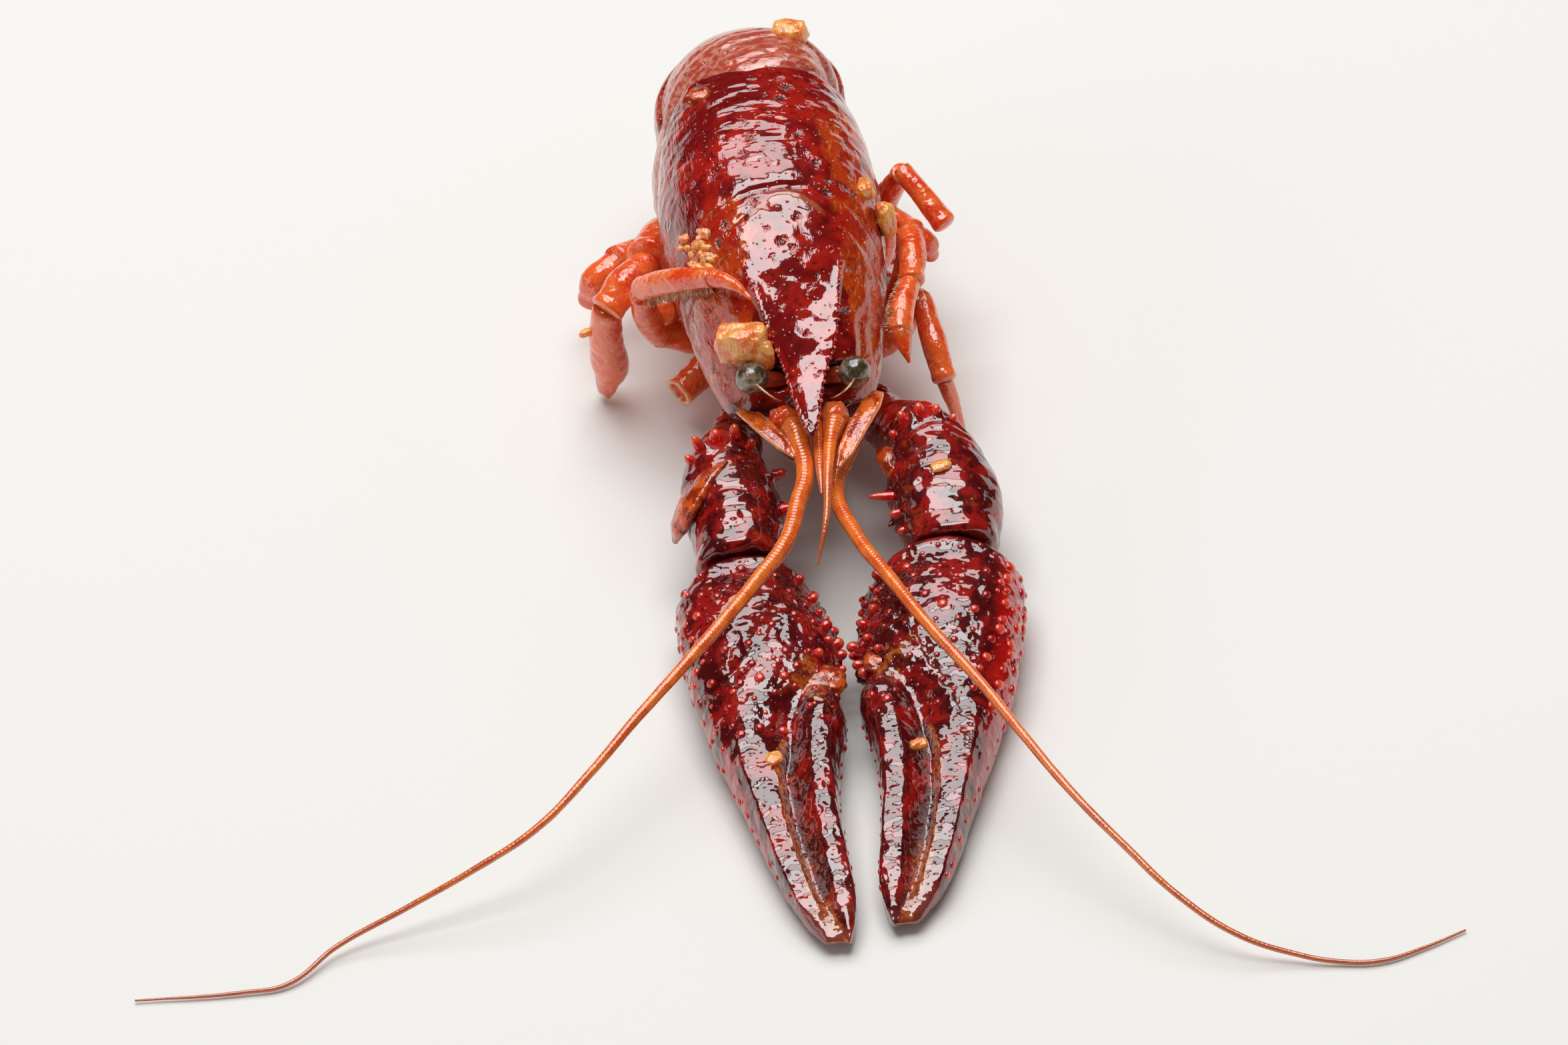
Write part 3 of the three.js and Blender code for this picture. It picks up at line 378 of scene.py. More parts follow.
class CrayfishSizes(bpy.types.PropertyGroup):
    """Sizes that the solids leave open."""

    shell_grain: length_setting("Shell grain", "Spacing of a large shell's points", 0.32, 0.2, 1)
    limb_grain: length_setting("Limb grain", "Spacing of a smaller shell's points", 0.26, 0.15, 1)
    lump_height: length_setting("Lump height", "Height of the low swellings of the shells", 0.11, 0, 0.4)
    bead_radius: length_setting("Bead radius", "Radius of a middling bead on the claws", 0.42, 0.1, 1)
    bead_spacing: length_setting("Bead spacing", "Least distance between palm beads", 2.1, 0.6, 4)
    feeler_ring: length_setting("Feeler ring", "Length of one ring of an antenna", 0.5, 0.3, 2)
    droplets: IntProperty(
        name="Droplets", description="How many drops of oil lie on the carapace",
        default=70, min=0, max=600)


class CrayfishColours(bpy.types.PropertyGroup):
    """Colours of the cooked shell and of what sticks to it."""

    shell_dark: colour_setting("Shell, dark", "Deep red of the carapace", "800607")
    shell_red: colour_setting("Shell, red", "Brighter red of the carapace", "b41a0b")
    shell_orange: colour_setting("Shell, orange", "Orange brown of the cheeks", "c23c0c")
    claw_dark: colour_setting("Claw, dark", "Burgundy of the claws", "560407")
    claw_red: colour_setting("Claw, red", "Brighter red of the claws", "a0140e")
    bead_red: colour_setting("Bead", "Bright red of the claws' beads", "dc140a")
    leg_orange: colour_setting("Leg", "Orange red of the legs", "ff6c2a")
    feeler_orange: colour_setting("Feeler", "Orange of the antennae", "ff7e20")
    garlic_yellow: colour_setting("Garlic", "Orange yellow of the cooked garlic", "ffaa48")
    floor_white: colour_setting("Floor", "Pale grey of the floor", "f0efeb")


# ---------------------------------------------------------------- bench helpers


def choose(*pieces):
    """Makes some pieces the only ones selected, and the first of them active."""
    bpy.ops.object.select_all(action="DESELECT")
    for piece in pieces:
        piece.select_set(True)
    bpy.context.view_layer.objects.active = pieces[0]


def joined(pieces):
    """The first of some pieces, with the others joined to it."""
    choose(*pieces)
    if len(pieces) > 1:
        bpy.ops.object.join()
    return pieces[0]


@contextmanager
def edit_mode():
    """Edit mode on the active piece, with all of it selected."""
    bpy.ops.object.mode_set(mode="EDIT")
    bpy.ops.mesh.select_all(action="SELECT")
    yield
    bpy.ops.object.mode_set(mode="OBJECT")


def apply_modifier(piece, kind, **settings):
    """Adds a modifier to a piece and applies it."""
    choose(piece)
    modifier = piece.modifiers.new(kind.title(), kind)
    for name, value in settings.items():
        setattr(modifier, name, value)
    bpy.ops.object.modifier_apply(modifier=modifier.name)


def copy_of(nodes, name):
    """One piece made of copies of some solids, with their corners merged."""
    copies = []
    for node in nodes:
        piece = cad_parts[node].copy()
        piece.data = piece.data.copy()
        for key in list(piece.keys()):
            del piece[key]
        piece.parent = None
        bpy.context.collection.objects.link(piece)
        copies.append(piece)
    piece = joined(copies[::-1])
    piece.name = name
    piece.data.name = name
    with edit_mode():
        bpy.ops.mesh.remove_doubles(threshold=MERGE)
        bpy.ops.mesh.tris_convert_to_quads()
    return piece


def skin_of(name, nodes, grain, smoothing=5, closing=0):
    """A fine closed skin over copies of solids: rounded, in even squares, smoothed at full size."""
    piece = copy_of(nodes, name)
    solid = surface_of(piece)
    apply_modifier(piece, "SUBSURF", levels=2, render_levels=2)
    apply_modifier(piece, "REMESH", mode="VOXEL", voxel_size=grain)
    apply_modifier(piece, "SMOOTH", factor=0.5, iterations=smoothing)
    swell_to(piece, solid)
    if closing:
        push_out(piece, np.full(len(piece.data.vertices), closing))
        apply_modifier(piece, "REMESH", mode="VOXEL", voxel_size=grain)
        push_out(piece, np.full(len(piece.data.vertices), -closing))
        apply_modifier(piece, "SMOOTH", factor=0.5, iterations=SETTLING_ROUNDS)
    return piece


def even_out(piece, values, rounds):
    """Values at a piece's points, each evened out with its neighbours' a number of times."""
    flat = np.empty(len(piece.data.edges) * 2, np.int32)
    piece.data.edges.foreach_get("vertices", flat)
    first, second = flat.reshape(-1, 2).T
    count = len(values)
    shares = np.bincount(first, minlength=count) + np.bincount(second, minlength=count)
    for _ in range(rounds):
        forward = np.bincount(first, values[second], count)
        values = (forward + np.bincount(second, values[first], count)) / shares
    return values


def swell_to(piece, solid):
    """Swells a shrunken skin back to its solid's size, too evenly to bring the solid's facets back."""
    points = points_of(piece)
    nearest = np.array([solid.find_nearest(point)[0] for point in points.tolist()])
    gaps = np.clip(((nearest - points) * normals_of(piece)).sum(axis=1), *SWELL_LIMITS)
    push_out(piece, even_out(piece, gaps, EVENING_ROUNDS))


def vectors_of(piece, what):
    """Three numbers for each of a piece's points."""
    flat = np.empty(len(piece.data.vertices) * 3, np.float32)
    piece.data.vertices.foreach_get(what, flat)
    return flat.reshape(-1, 3).astype(float)


def points_of(piece):
    """The places of a piece's points, in metres."""
    return vectors_of(piece, "co")


def normals_of(piece):
    """The outward directions at a piece's points."""
    return vectors_of(piece, "normal")


def place_points(piece, places):
    """Moves a piece's points to the given places."""
    piece.data.vertices.foreach_set("co", places.astype(np.float32).ravel())
    piece.data.update()


def push_out(piece, heights):
    """Moves each point along its outward direction by its height in metres."""
    place_points(piece, points_of(piece) + normals_of(piece) * heights[:, None])


def within(points, matrix):
    """Points in metres, seen in the frame that a matrix leads out of."""
    inverse = np.array(matrix.inverted())
    return points @ inverse[:3, :3].T + inverse[:3, 3]


def axis_of(matrix, number):
    """The way in metres that a frame's axis takes for each of the frame's own units."""
    return np.array(matrix.to_3x3()).T[number]


def ease(values, start, end):
    """0 before start, 1 after end, and a smooth rise between them."""
    share = np.clip((values - start) / (end - start), 0, 1)
    return share * share * (3 - 2 * share)


def hill(values, middle, width):
    """A round hill of height 1 at the middle."""
    return np.exp(-((values - middle) / width) ** 2)


def ripple(points, size, seed):
    """Smooth noise between -1 and 1, whose swellings are about as wide as the size."""
    cells = points / size
    base = np.floor(cells).astype(np.int64)
    share = cells - base
    share = share * share * (3 - 2 * share)
    total = np.zeros(len(points))
    for corner in itertools.product((0, 1), repeat=3):
        key = (base + corner) * AXIS_KEYS
        code = key[:, 0] ^ key[:, 1] ^ key[:, 2] ^ (seed * SEED_KEY)
        code = ((code ^ (code >> 13)) * MIXING_KEY) & 0xFFFFFFFF
        value = ((code ^ (code >> 16)) & 0xFFFF) / 32767.5 - 1
        total += value * np.prod(np.where(corner, share, 1 - share), axis=1)
    return total


def swellings(points, *waves):
    """A sum of ripples. Each wave is its height, its width in millimetres and its seed."""
    return sum(height * ripple(points, width * MM, seed) for height, width, seed in waves)


def paint(piece, **zones):
    """Writes a number at each point of a piece for each named zone, for its material to read."""
    for name, values in zones.items():
        layer = piece.data.attributes.new(name, "FLOAT", "POINT")
        layer.data.foreach_set("value", np.asarray(values, np.float32))


def finish(piece, material, nodes=()):
    """Shades a piece, gives it its material, ties it to the body and hides the solids that it stands for."""
    piece.data.materials.clear()
    piece.data.materials.append(material)
    choose(piece)
    bpy.ops.object.shade_smooth()
    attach(piece, "root")
    if nodes:
        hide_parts(*nodes)


def across(x, station):
    """Where each point lies across its own section: -1 at the low edge, 1 at the high one."""
    step = 0.6
    bins = np.floor((station - station.min()) / step).astype(int)
    low = np.full(bins.max() + 1, np.inf)
    high = np.full(bins.max() + 1, -np.inf)
    np.minimum.at(low, bins, x)
    np.maximum.at(high, bins, x)
    middles = station.min() + (np.arange(len(low)) + 0.5) * step
    kept = np.isfinite(low)
    low_edge = np.interp(station, middles[kept], low[kept])
    high_edge = np.interp(station, middles[kept], high[kept])
    return 2 * (x - low_edge) / np.maximum(high_edge - low_edge, 1e-6) - 1


def bead_model():
    """One bead: the upper part of a ball, drawn up to a blunt tip. Unit radius, standing on z."""
    foot = -0.3
    fullness = 3.4
    narrowing = 0.22
    bpy.ops.object.select_all(action="DESELECT")
    bpy.ops.mesh.primitive_uv_sphere_add(segments=8, ring_count=8, radius=1)
    model = bpy.context.object
    with edit_mode():
        bpy.ops.mesh.bisect(plane_co=(0, 0, foot), plane_no=(0, 0, 1), clear_inner=True)
    places = points_of(model)
    tip = ease(places[:, 2], foot, 1)
    height = np.clip(places[:, 2], 0, 0.999)
    spread = np.sqrt((1 - height ** fullness) / (1 - height ** 2)) * (1 - narrowing * tip)
    places[:, :2] *= spread[:, None]
    faces = [tuple(face.vertices) for face in model.data.polygons]
    bpy.data.objects.remove(model)
    return places, faces, tip


def sow(name, seeds):
    """One piece of many beads. A seed is a place, outward direction, radius, height and brightness."""
    places, faces, tip = bead_model()
    all_places = []
    all_faces = []
    for place, outward, radius, height, _ in seeds:
        turn = np.array(Vector(outward).to_track_quat("Z", "Y").to_matrix())
        shape = places * (radius, radius, height)
        offset = len(all_places) * len(places)
        all_places.append(shape @ turn.T + np.array(place))
        all_faces.extend(tuple(i + offset for i in face) for face in faces)
    mesh = bpy.data.meshes.new(name)
    mesh.from_pydata(np.concatenate(all_places).tolist(), [], all_faces)
    piece = bpy.data.objects.new(name, mesh)
    bpy.context.collection.objects.link(piece)
    tones = [tone for *_, tone in seeds]
    paint(piece, tip=np.tile(tip, len(seeds)), tone=np.repeat(tones, len(places)))
    return piece


def surface_of(piece):
    """A finder of places on a piece's surface."""
    return BVHTree.FromObject(piece, bpy.context.evaluated_depsgraph_get())


def strung(name, rows, sides, cuts, matrix=BODY):
    """A round tapering string through rows of place and radius in a frame's millimetres."""
    curve = bpy.data.curves.new(name, "CURVE")
    curve.dimensions = "3D"
    curve.bevel_depth = 1
    curve.bevel_resolution = sides // 2 - 2
    curve.resolution_u = cuts
    curve.use_fill_caps = True
    spline = curve.splines.new("BEZIER")
    spline.bezier_points.add(len(rows) - 1)
    for point, (*place, radius) in zip(spline.bezier_points, rows):
        point.co = matrix @ Vector(place)
        point.radius = radius * MM
        point.handle_left_type = "AUTO"
        point.handle_right_type = "AUTO"
    piece = bpy.data.objects.new(name, curve)
    bpy.context.collection.objects.link(piece)
    choose(piece)
    bpy.ops.object.convert(target="MESH")
    piece = bpy.context.object
    with edit_mode():
        bpy.ops.mesh.remove_doubles(threshold=MERGE)
        bpy.ops.mesh.normals_make_consistent(inside=False)
    return piece


def lengths_along(rows):
    """How far along a string each of its rows lies, in metres."""
    steps = [math.dist(a[:3], b[:3]) for a, b in zip(rows, rows[1:])]
    return np.concatenate([[0], np.cumsum(steps)]) * MM


def follow(points, rows):
    """How far along a string each point lies, and the nearest place on the string's middle line."""
    course = np.array([BODY @ Vector(row[:3]) for row in rows])
    steps = np.diff(course, axis=0)
    lengths = np.concatenate([[0], np.cumsum(np.linalg.norm(steps, axis=1))])
    share = np.einsum("psk,sk->ps", points[:, None] - course[:-1], steps) / (steps ** 2).sum(axis=1)
    share = np.clip(share, 0, 1)
    feet = course[:-1] + share[..., None] * steps
    best = np.linalg.norm(points[:, None] - feet, axis=2).argmin(axis=1)
    every = np.arange(len(points))
    return lengths[best] + share[every, best] * np.diff(lengths)[best], feet[every, best]


def blade(name, rows, facing, thinness):
    """A flat pointed blade along rows of place and half width, with a low rib and raised edges."""
    piece = strung(name, rows, sides=24, cuts=12)
    points = points_of(piece)
    along, feet = follow(points, rows)
    normal = np.array(BODY.to_3x3() @ Vector(facing))
    normal /= np.linalg.norm(normal)
    arms_out = points - feet
    above = arms_out @ normal
    flat = arms_out - above[:, None] * normal
    lengths = lengths_along(rows)
    half = np.interp(along, lengths, [row[3] * MM for row in rows])
    edge = np.clip(np.linalg.norm(flat, axis=1) / half, 0, 1)
    relief_height = MM * (0.1 * hill(edge, 0, 0.2) + 0.12 * hill(edge, 0.85, 0.12)) * np.sign(above)
    relief_height += 0.05 * MM * ripple(points, 1.2 * MM, 15)
    place_points(piece, feet + flat + (above * thinness + relief_height)[:, None] * normal)
    paint(piece, edge=ease(edge, 0.6, 1.0), along=along / lengths[-1])
    return piece


def lump(name, place, half_sizes, turn, squareness, seed):
    """A ragged lump of food: a ball that is squared, squashed, turned and wrinkled."""
    bpy.ops.object.select_all(action="DESELECT")
    bpy.ops.mesh.primitive_ico_sphere_add(subdivisions=5, radius=1)
    piece = bpy.context.object
    piece.name = name
    piece.data.name = name
    shape = points_of(piece)
    shape /= (np.abs(shape).max(axis=1) ** squareness)[:, None]
    swell = 1 + 0.15 * ripple(shape + seed, 0.8, seed) + 0.08 * ripple(shape + seed, 0.34, seed + 1)
    shape = shape * swell[:, None] * np.array(half_sizes)
    shape = shape @ np.array(Matrix.Rotation(math.radians(turn), 3, "Z")).T
    place_points(piece, np.array([BODY @ (Vector(place) + Vector(point)) for point in shape]))
    return piece


# ---------------------------------------------------------------- materials


def put(tree, kind, inputs=None, **settings):
    """Adds one node with its settings, and fills its inputs with values or with other nodes' outputs."""
    node = tree.nodes.new("ShaderNode" + kind)
    for name, value in settings.items():
        setattr(node, name, value)
    for name, value in (inputs or {}).items():
        if isinstance(value, bpy.types.Node):
            value = next(socket for socket in value.outputs if socket.enabled)
        if isinstance(value, bpy.types.NodeSocket):
            tree.links.new(value, node.inputs[name])
        else:
            node.inputs[name].default_value = value
    return node


def new_material(name, *zones):
    """An empty material, its tree, the places on its piece, and the zones painted there, by name."""
    material = bpy.data.materials.new(name)
    material.use_nodes = True
    tree = material.node_tree
    tree.nodes.clear()
    place = put(tree, "TexCoord").outputs["Object"]
    painted = {zone: put(tree, "Attribute", attribute_name=zone).outputs["Fac"] for zone in zones}
    return material, tree, place, painted


def stained(tree, colour, *stains):
    """Lays stains over a colour. Each has a colour, a pattern, where that starts and ends, and a share."""
    for over, pattern, start, end, most in stains:
        inputs = {"Value": pattern, "From Min": start, "From Max": end, "To Max": most}
        share = put(tree, "MapRange", inputs, interpolation_type="SMOOTHSTEP")
        under, over = (linear(one) if isinstance(one, str) else one for one in (colour, over))
        colour = put(tree, "Mix", {0: share, 6: under, 7: over}, data_type="RGBA")
    return colour


def speckle(tree, place, spacing, radius):
    """Round specks, 1 at their middles, in random places about a spacing apart."""
    cells = put(tree, "TexVoronoi", {"Vector": place, "Scale": 1 / spacing})
    inputs = {"Value": cells, "From Max": radius / spacing, "To Min": 1.0, "To Max": 0.0}
    return put(tree, "MapRange", inputs, interpolation_type="SMOOTHSTEP")


def clouds(tree, place, width, stretch=(1, 1, 1), detail=3.0, roughness=0.55):
    """Swellings of a width in metres, drawn out along the axes whose stretch is over 1."""
    scaled = put(tree, "Mapping", {"Vector": place, "Scale": [1 / (width * part) for part in stretch]})
    return put(tree, "TexNoise", {"Vector": scaled, "Scale": 1.0, "Detail": detail, "Roughness": roughness})


def wavering(tree, place, width, reach):
    """Places shaken about by a reach, so that a pattern laid on them gets ragged edges."""
    noise = put(tree, "TexNoise", {"Vector": place, "Scale": 1 / width, "Detail": 3.0})
    inputs = {0: noise.outputs["Color"], 1: (reach,) * 3, 2: place}
    return put(tree, "VectorMath", inputs, operation="MULTIPLY_ADD").outputs[0]


def relief(tree, *parts):
    """A bump from patterns, each with its height in millimetres."""
    total = 0.0
    for pattern, height in parts:
        total = put(tree, "Math", {0: pattern, 1: height, 2: total}, operation="MULTIPLY_ADD")
    return put(tree, "Bump", {"Height": total, "Distance": MM, "Strength": 1.0})


def translucent(share, depth, reach):
    """Shader inputs for light that enters: its share, its depth in millimetres and its reach by colour."""
    return {"Subsurface Weight": share, "Subsurface Scale": depth * MM, "Subsurface Radius": reach}


def oiled(material, colour, bump, roughness, film, **more):
    """Finishes a material as a matt body under a film of chilli oil, both on the same relief."""
    tree = material.node_tree
    inputs = {
        "Base Color": colour, "Roughness": roughness, "Specular IOR Level": 0.1, "Normal": bump,
        "Coat Weight": 1.0, "Coat Roughness": film, "Coat IOR": 2.0, "Coat Normal": bump,
    }
    shader = put(tree, "BsdfPrincipled", inputs | more)
    put(tree, "OutputMaterial", {"Surface": shader})
    return material


def carapace_material(colours):
    """Boiled crayfish shell: opaque chitin, deep red clouding to orange, pitted, under an oily sauce, with a
    painted reflection on the left flank and painted shade in the recess under the beak.
    """
    material, tree, place, zones = new_material(
        "boiled_shell_back", "orange", "groove", "streak", "veil", "hollow", "rear")
    broad = clouds(tree, place, 4.5 * MM, detail=5)
    fine = clouds(tree, place, 1.0 * MM, detail=4, roughness=0.65)
    strands = clouds(tree, place, 0.42 * MM, stretch=(1, 6, 1.6))
    wrinkles = clouds(tree, place, 1.5 * MM, stretch=(2.4, 1, 1.4), detail=1.5, roughness=0.4)
    waves = clouds(tree, place, 2.2 * MM, detail=1.3, roughness=0.4)
    ragged = wavering(tree, place, 0.8 * MM, 1.3 * MM)
    worn = put(tree, "MapRange", {"Value": broad, "From Min": 0.47, "From Max": 0.53})
    pits = put(tree, "Math", {0: speckle(tree, ragged, 2.6 * MM, 0.9 * MM), 1: worn}, operation="MULTIPLY")
    specks = speckle(tree, place, 0.85 * MM, 0.17 * MM)
    patches = put(tree, "Math", {0: fine, 1: 0.9, 2: zones["orange"]}, operation="MULTIPLY_ADD")
    # Painted reflection: pale streaks that stand in for the floor's light mirrored on the left flank, laid
    # along the shell's strands
    veiled = put(tree, "Math", {0: zones["veil"], 1: strands}, operation="MULTIPLY")
    rust = stained(
        tree, colours.shell_orange,
        ("e0701e", strands, 0.5, 0.7, 1),
        (colours.shell_red, broad, 0.48, 0.6, 0.85),
        ("7c1c08", fine, 0.5, 0.62, 0.6))
    colour = stained(
        tree, colours.shell_dark,
        (colours.shell_red, broad, 0.42, 0.6, 1),
        ("600306", fine, 0.52, 0.62, 0.7),
        (rust, patches, 0.78, 1.05, 1),
        ("c87850", zones["groove"], 0.35, 1.0, 0.5),
        # painted reflection on the left flank
        ("c8a098", veiled, 0.3, 0.6, 0.85),
        ("400204", pits, 0.2, 0.7, 0.8),
        ("f0a878", specks, 0.3, 0.9, 0.5),
        # painted shade in the recess under the beak, between the eyes
        ("480c03", zones["hollow"], 0.2, 0.9, 1))
    folds = put(tree, "Math", {0: wrinkles, 1: zones["rear"]}, operation="MULTIPLY")
    streaks = put(tree, "Math", {0: strands, 1: zones["streak"]}, operation="MULTIPLY")
    bump = relief(tree, (folds, 0.42), (waves, 0.27), (pits, -0.3), (specks, 0.06), (streaks, 0.16))
    return oiled(material, colour, bump, 0.5, 0.04)


def tail_material(colours):
    """Boiled tail armour: thinner shell, its front rings lightened by a painted sheen, fine lines along it,
    glossy with oil.
    """
    material, tree, place, zones = new_material("boiled_shell_tail", "edge", "pale")
    broad = clouds(tree, place, 3.6 * MM, detail=5)
    strands = clouds(tree, place, 0.45 * MM, stretch=(5, 1.4, 1), detail=4)
    pits = speckle(tree, wavering(tree, place, 0.8 * MM, 0.8 * MM), 1.9 * MM, 0.45 * MM)
    # Painted sheen: a pale pink that stands in for the softbox's reflection on the oily front rings
    pale = stained(tree, "bc4a34", ("d48470", strands, 0.44, 0.62, 1))
    sheen_share = put(tree, "Math", {0: broad, 1: zones["pale"]})
    colour = stained(
        tree, colours.shell_dark,
        (colours.shell_red, broad, 0.42, 0.56, 1),
        ("d05034", strands, 0.46, 0.62, 0.6),
        (pale, sheen_share, 0.9, 1.35, 1),
        ("e02c1e", zones["edge"], 0.3, 1.0, 0.7),
        ("5c0406", pits, 0.3, 0.9, 0.6))
    waves = clouds(tree, place, 1.8 * MM, detail=1.5, roughness=0.45)
    bump = relief(tree, (strands, 0.08), (waves, 0.3), (pits, -0.16))
    return oiled(material, colour, bump, 0.5, 0.07)


def claw_material(colours):
    """Boiled claw shell: thick chitin, burgundy to red, orange brown films of sauce, glassy with oil."""
    material, tree, place, zones = new_material("boiled_shell_claw", "tip", "bright", "film")
    broad = clouds(tree, place, 3.2 * MM, detail=5)
    fine = clouds(tree, place, 0.9 * MM, detail=4, roughness=0.65)
    drops = speckle(tree, wavering(tree, place, MM, 0.4 * MM), 1.7 * MM, 0.55 * MM)
    glow = put(tree, "Math", {0: drops, 1: zones["bright"]}, operation="MULTIPLY")
    specks = speckle(tree, place, 0.8 * MM, 0.16 * MM)
    patches = put(tree, "Math", {0: fine, 1: 0.9, 2: zones["film"]}, operation="MULTIPLY_ADD")
    amber = stained(tree, "8c3410", ("c06424", fine, 0.45, 0.6, 1))
    colour = stained(
        tree, colours.claw_dark,
        (colours.claw_red, broad, 0.44, 0.6, 1),
        ("400306", fine, 0.52, 0.62, 0.7),
        (amber, patches, 0.8, 1.05, 0.9),
        (colours.bead_red, zones["bright"], 0.3, 1.0, 0.55),
        ("f44422", glow, 0.25, 0.7, 0.95),
        ("c82a1c", specks, 0.3, 0.9, 0.6),
        ("a05040", zones["tip"], 0.2, 1.0, 0.6))
    waves = clouds(tree, place, 1.5 * MM, detail=1.2, roughness=0.4)
    bump = relief(tree, (waves, 0.4), (glow, 0.1), (specks, 0.05))
    return oiled(material, colour, bump, 0.5, 0.04)


def bead_material(colours):
    """Claw tubercle: the same shell, thin and bright red, paling to a worn pink tip, wet."""
    material, tree, place, zones = new_material("boiled_shell_bead", "tip", "tone")
    worn = put(tree, "Math", {0: zones["tip"], 1: zones["tone"]}, operation="MULTIPLY")
    colour = stained(
        tree, colours.claw_red,
        (colours.bead_red, zones["tone"], 0.0, 1.0, 1),
        ("f4603c", worn, 0.35, 1.0, 0.7))
    bump = relief(tree, (clouds(tree, place, 0.4 * MM), 0.05))
    return oiled(material, colour, bump, 0.5, 0.06)


def arm_material(colours):
    """Boiled arm shell: burgundy like the claws, redder at its hind end, glassy with oil."""
    material, tree, place, zones = new_material("boiled_shell_arm", "hind")
    broad = clouds(tree, place, 2.6 * MM, detail=5)
    fine = clouds(tree, place, 0.9 * MM, detail=4, roughness=0.65)
    film = clouds(tree, place, 2.4 * MM, roughness=0.6)
    specks = speckle(tree, place, 1.0 * MM, 0.22 * MM)
    colour = stained(
        tree, colours.claw_dark,
        (colours.claw_red, broad, 0.42, 0.58, 1),
        ("98380f", film, 0.6, 0.65, 0.7),
        ("400306", fine, 0.52, 0.62, 0.7),
        (colours.bead_red, zones["hind"], 0.2, 1.0, 0.8),
        ("d83020", specks, 0.3, 0.9, 0.7))
    waves = clouds(tree, place, 1.6 * MM, stretch=(2.0, 1, 1.5), detail=1.2, roughness=0.4)
    return oiled(material, colour, relief(tree, (waves, 0.4), (specks, 0.06)), 0.5, 0.04)


def leg_material(colours):
    """Boiled leg shell: thin, slightly translucent, bright orange, redder in places, satin with oil."""
    material, tree, place, zones = new_material("boiled_shell_leg", "joint", "flesh")
    broad = clouds(tree, place, 3.2 * MM, detail=4)
    fine = clouds(tree, place, 0.6 * MM, detail=4, roughness=0.6)
    pits = speckle(tree, wavering(tree, place, 0.6 * MM, 0.3 * MM), 0.8 * MM, 0.2 * MM)
    colour = stained(
        tree, "ee4412",
        (colours.leg_orange, broad, 0.36, 0.56, 1),
        ("ffa468", fine, 0.52, 0.68, 0.5),
        ("b42c10", pits, 0.3, 0.9, 0.5),
        ("c43814", zones["joint"], 0.2, 1.0, 0.6),
        ("f4a868", zones["flesh"], 0.3, 0.9, 1))
    waves = clouds(tree, place, 1.3 * MM, detail=2, roughness=0.5)
    bump = relief(tree, (waves, 0.3), (fine, 0.03), (pits, -0.05))
    return oiled(material, colour, bump, 0.5, 0.13, **translucent(0.3, 1.4, (1.0, 0.4, 0.15)))


def feeler_material(colours):
    """Boiled antenna: a whip of horny rings, orange at the root and browner towards its tip, oiled."""
    material, tree, place, zones = new_material("boiled_feeler", "along", "ring")
    colour = stained(
        tree, colours.feeler_orange,
        ("e85a10", clouds(tree, place, 2.2 * MM, detail=4), 0.42, 0.62, 1),
        ("f8a060", zones["ring"], 0.4, 1.0, 0.35),
        ("b05c3c", zones["along"], 0.3, 1.0, 0.8))
    bump = relief(tree, (clouds(tree, place, 0.6 * MM), 0.06))
    return oiled(material, colour, bump, 0.45, 0.1, **translucent(0.12, 0.8, (1.0, 0.4, 0.15)))


def scale_material(colours):
    """Antennal scale: a stiff leaf of thin shell, orange red with pale translucent edges, wet."""
    material, tree, place, zones = new_material("boiled_scale_leaf", "edge")
    broad = clouds(tree, place, 1.2 * MM, stretch=(1, 2.2, 1), detail=4)
    colour = stained(
        tree, "b43008",
        ("ee7020", broad, 0.42, 0.6, 1),
        (colours.feeler_orange, zones["edge"], 0.2, 0.7, 0.7),
        ("f4b490", zones["edge"], 0.8, 1.0, 0.7))
    bump = relief(tree, (clouds(tree, place, 0.9 * MM, detail=2), 0.2))
    return oiled(material, colour, bump, 0.5, 0.07)


def belly_material(colours):
    """Soft shell of the underside: thin leathery chitin, orange buff with red joints, damp."""
    material, tree, place, _ = new_material("boiled_shell_belly")
    colour = stained(
        tree, "b85428",
        ("dc9864", clouds(tree, place, 3 * MM, detail=4), 0.42, 0.58, 1),
        (colours.shell_red, clouds(tree, place, 5 * MM), 0.5, 0.62, 0.6))
    bump = relief(tree, (clouds(tree, place, 1.2 * MM, detail=4, roughness=0.6), 0.22))
    return oiled(material, colour, bump, 0.5, 0.18)


def eye_material():
    """Boiled compound eye: a dull brown green ball of tiny facets under a wet skin, on a red stalk."""
    material, tree, place, zones = new_material("boiled_eye", "ball")
    clouding = clouds(tree, place, 1.0 * MM)
    grey = stained(
        tree, "443424",
        ("98826c", clouding, 0.42, 0.64, 1),
        ("6c6c58", clouds(tree, place, 0.6 * MM), 0.5, 0.66, 0.35))
    colour = stained(tree, "8a2c10", (grey, zones["ball"], 0.3, 0.7, 1))
    facets = speckle(tree, place, 0.16 * MM, 0.1 * MM)
    return oiled(material, colour, relief(tree, (facets, 0.008), (clouding, 0.12)), 0.4, 0.05)


def garlic_material(colours, name="cooked_garlic", paleness=0.3):
    """Garlic cooked in chilli oil: soft, translucent, amber yellow with paler fibres, and shiny."""
    material, tree, place, _ = new_material(name)
    fibres = clouds(tree, place, 0.3 * MM, stretch=(1, 4, 7))
    colour = stained(
        tree, "ff7c20",
        (colours.garlic_yellow, clouds(tree, place, 1.8 * MM), 0.42, 0.56, 1),
        ("fcd49c", fibres, 0.46, 0.66, paleness))
    bump = relief(tree, (fibres, 0.14), (clouds(tree, place, 0.9 * MM), 0.2))
    return oiled(material, colour, bump, 0.45, 0.08, **translucent(0.25, 1.0, (1.0, 0.5, 0.2)))


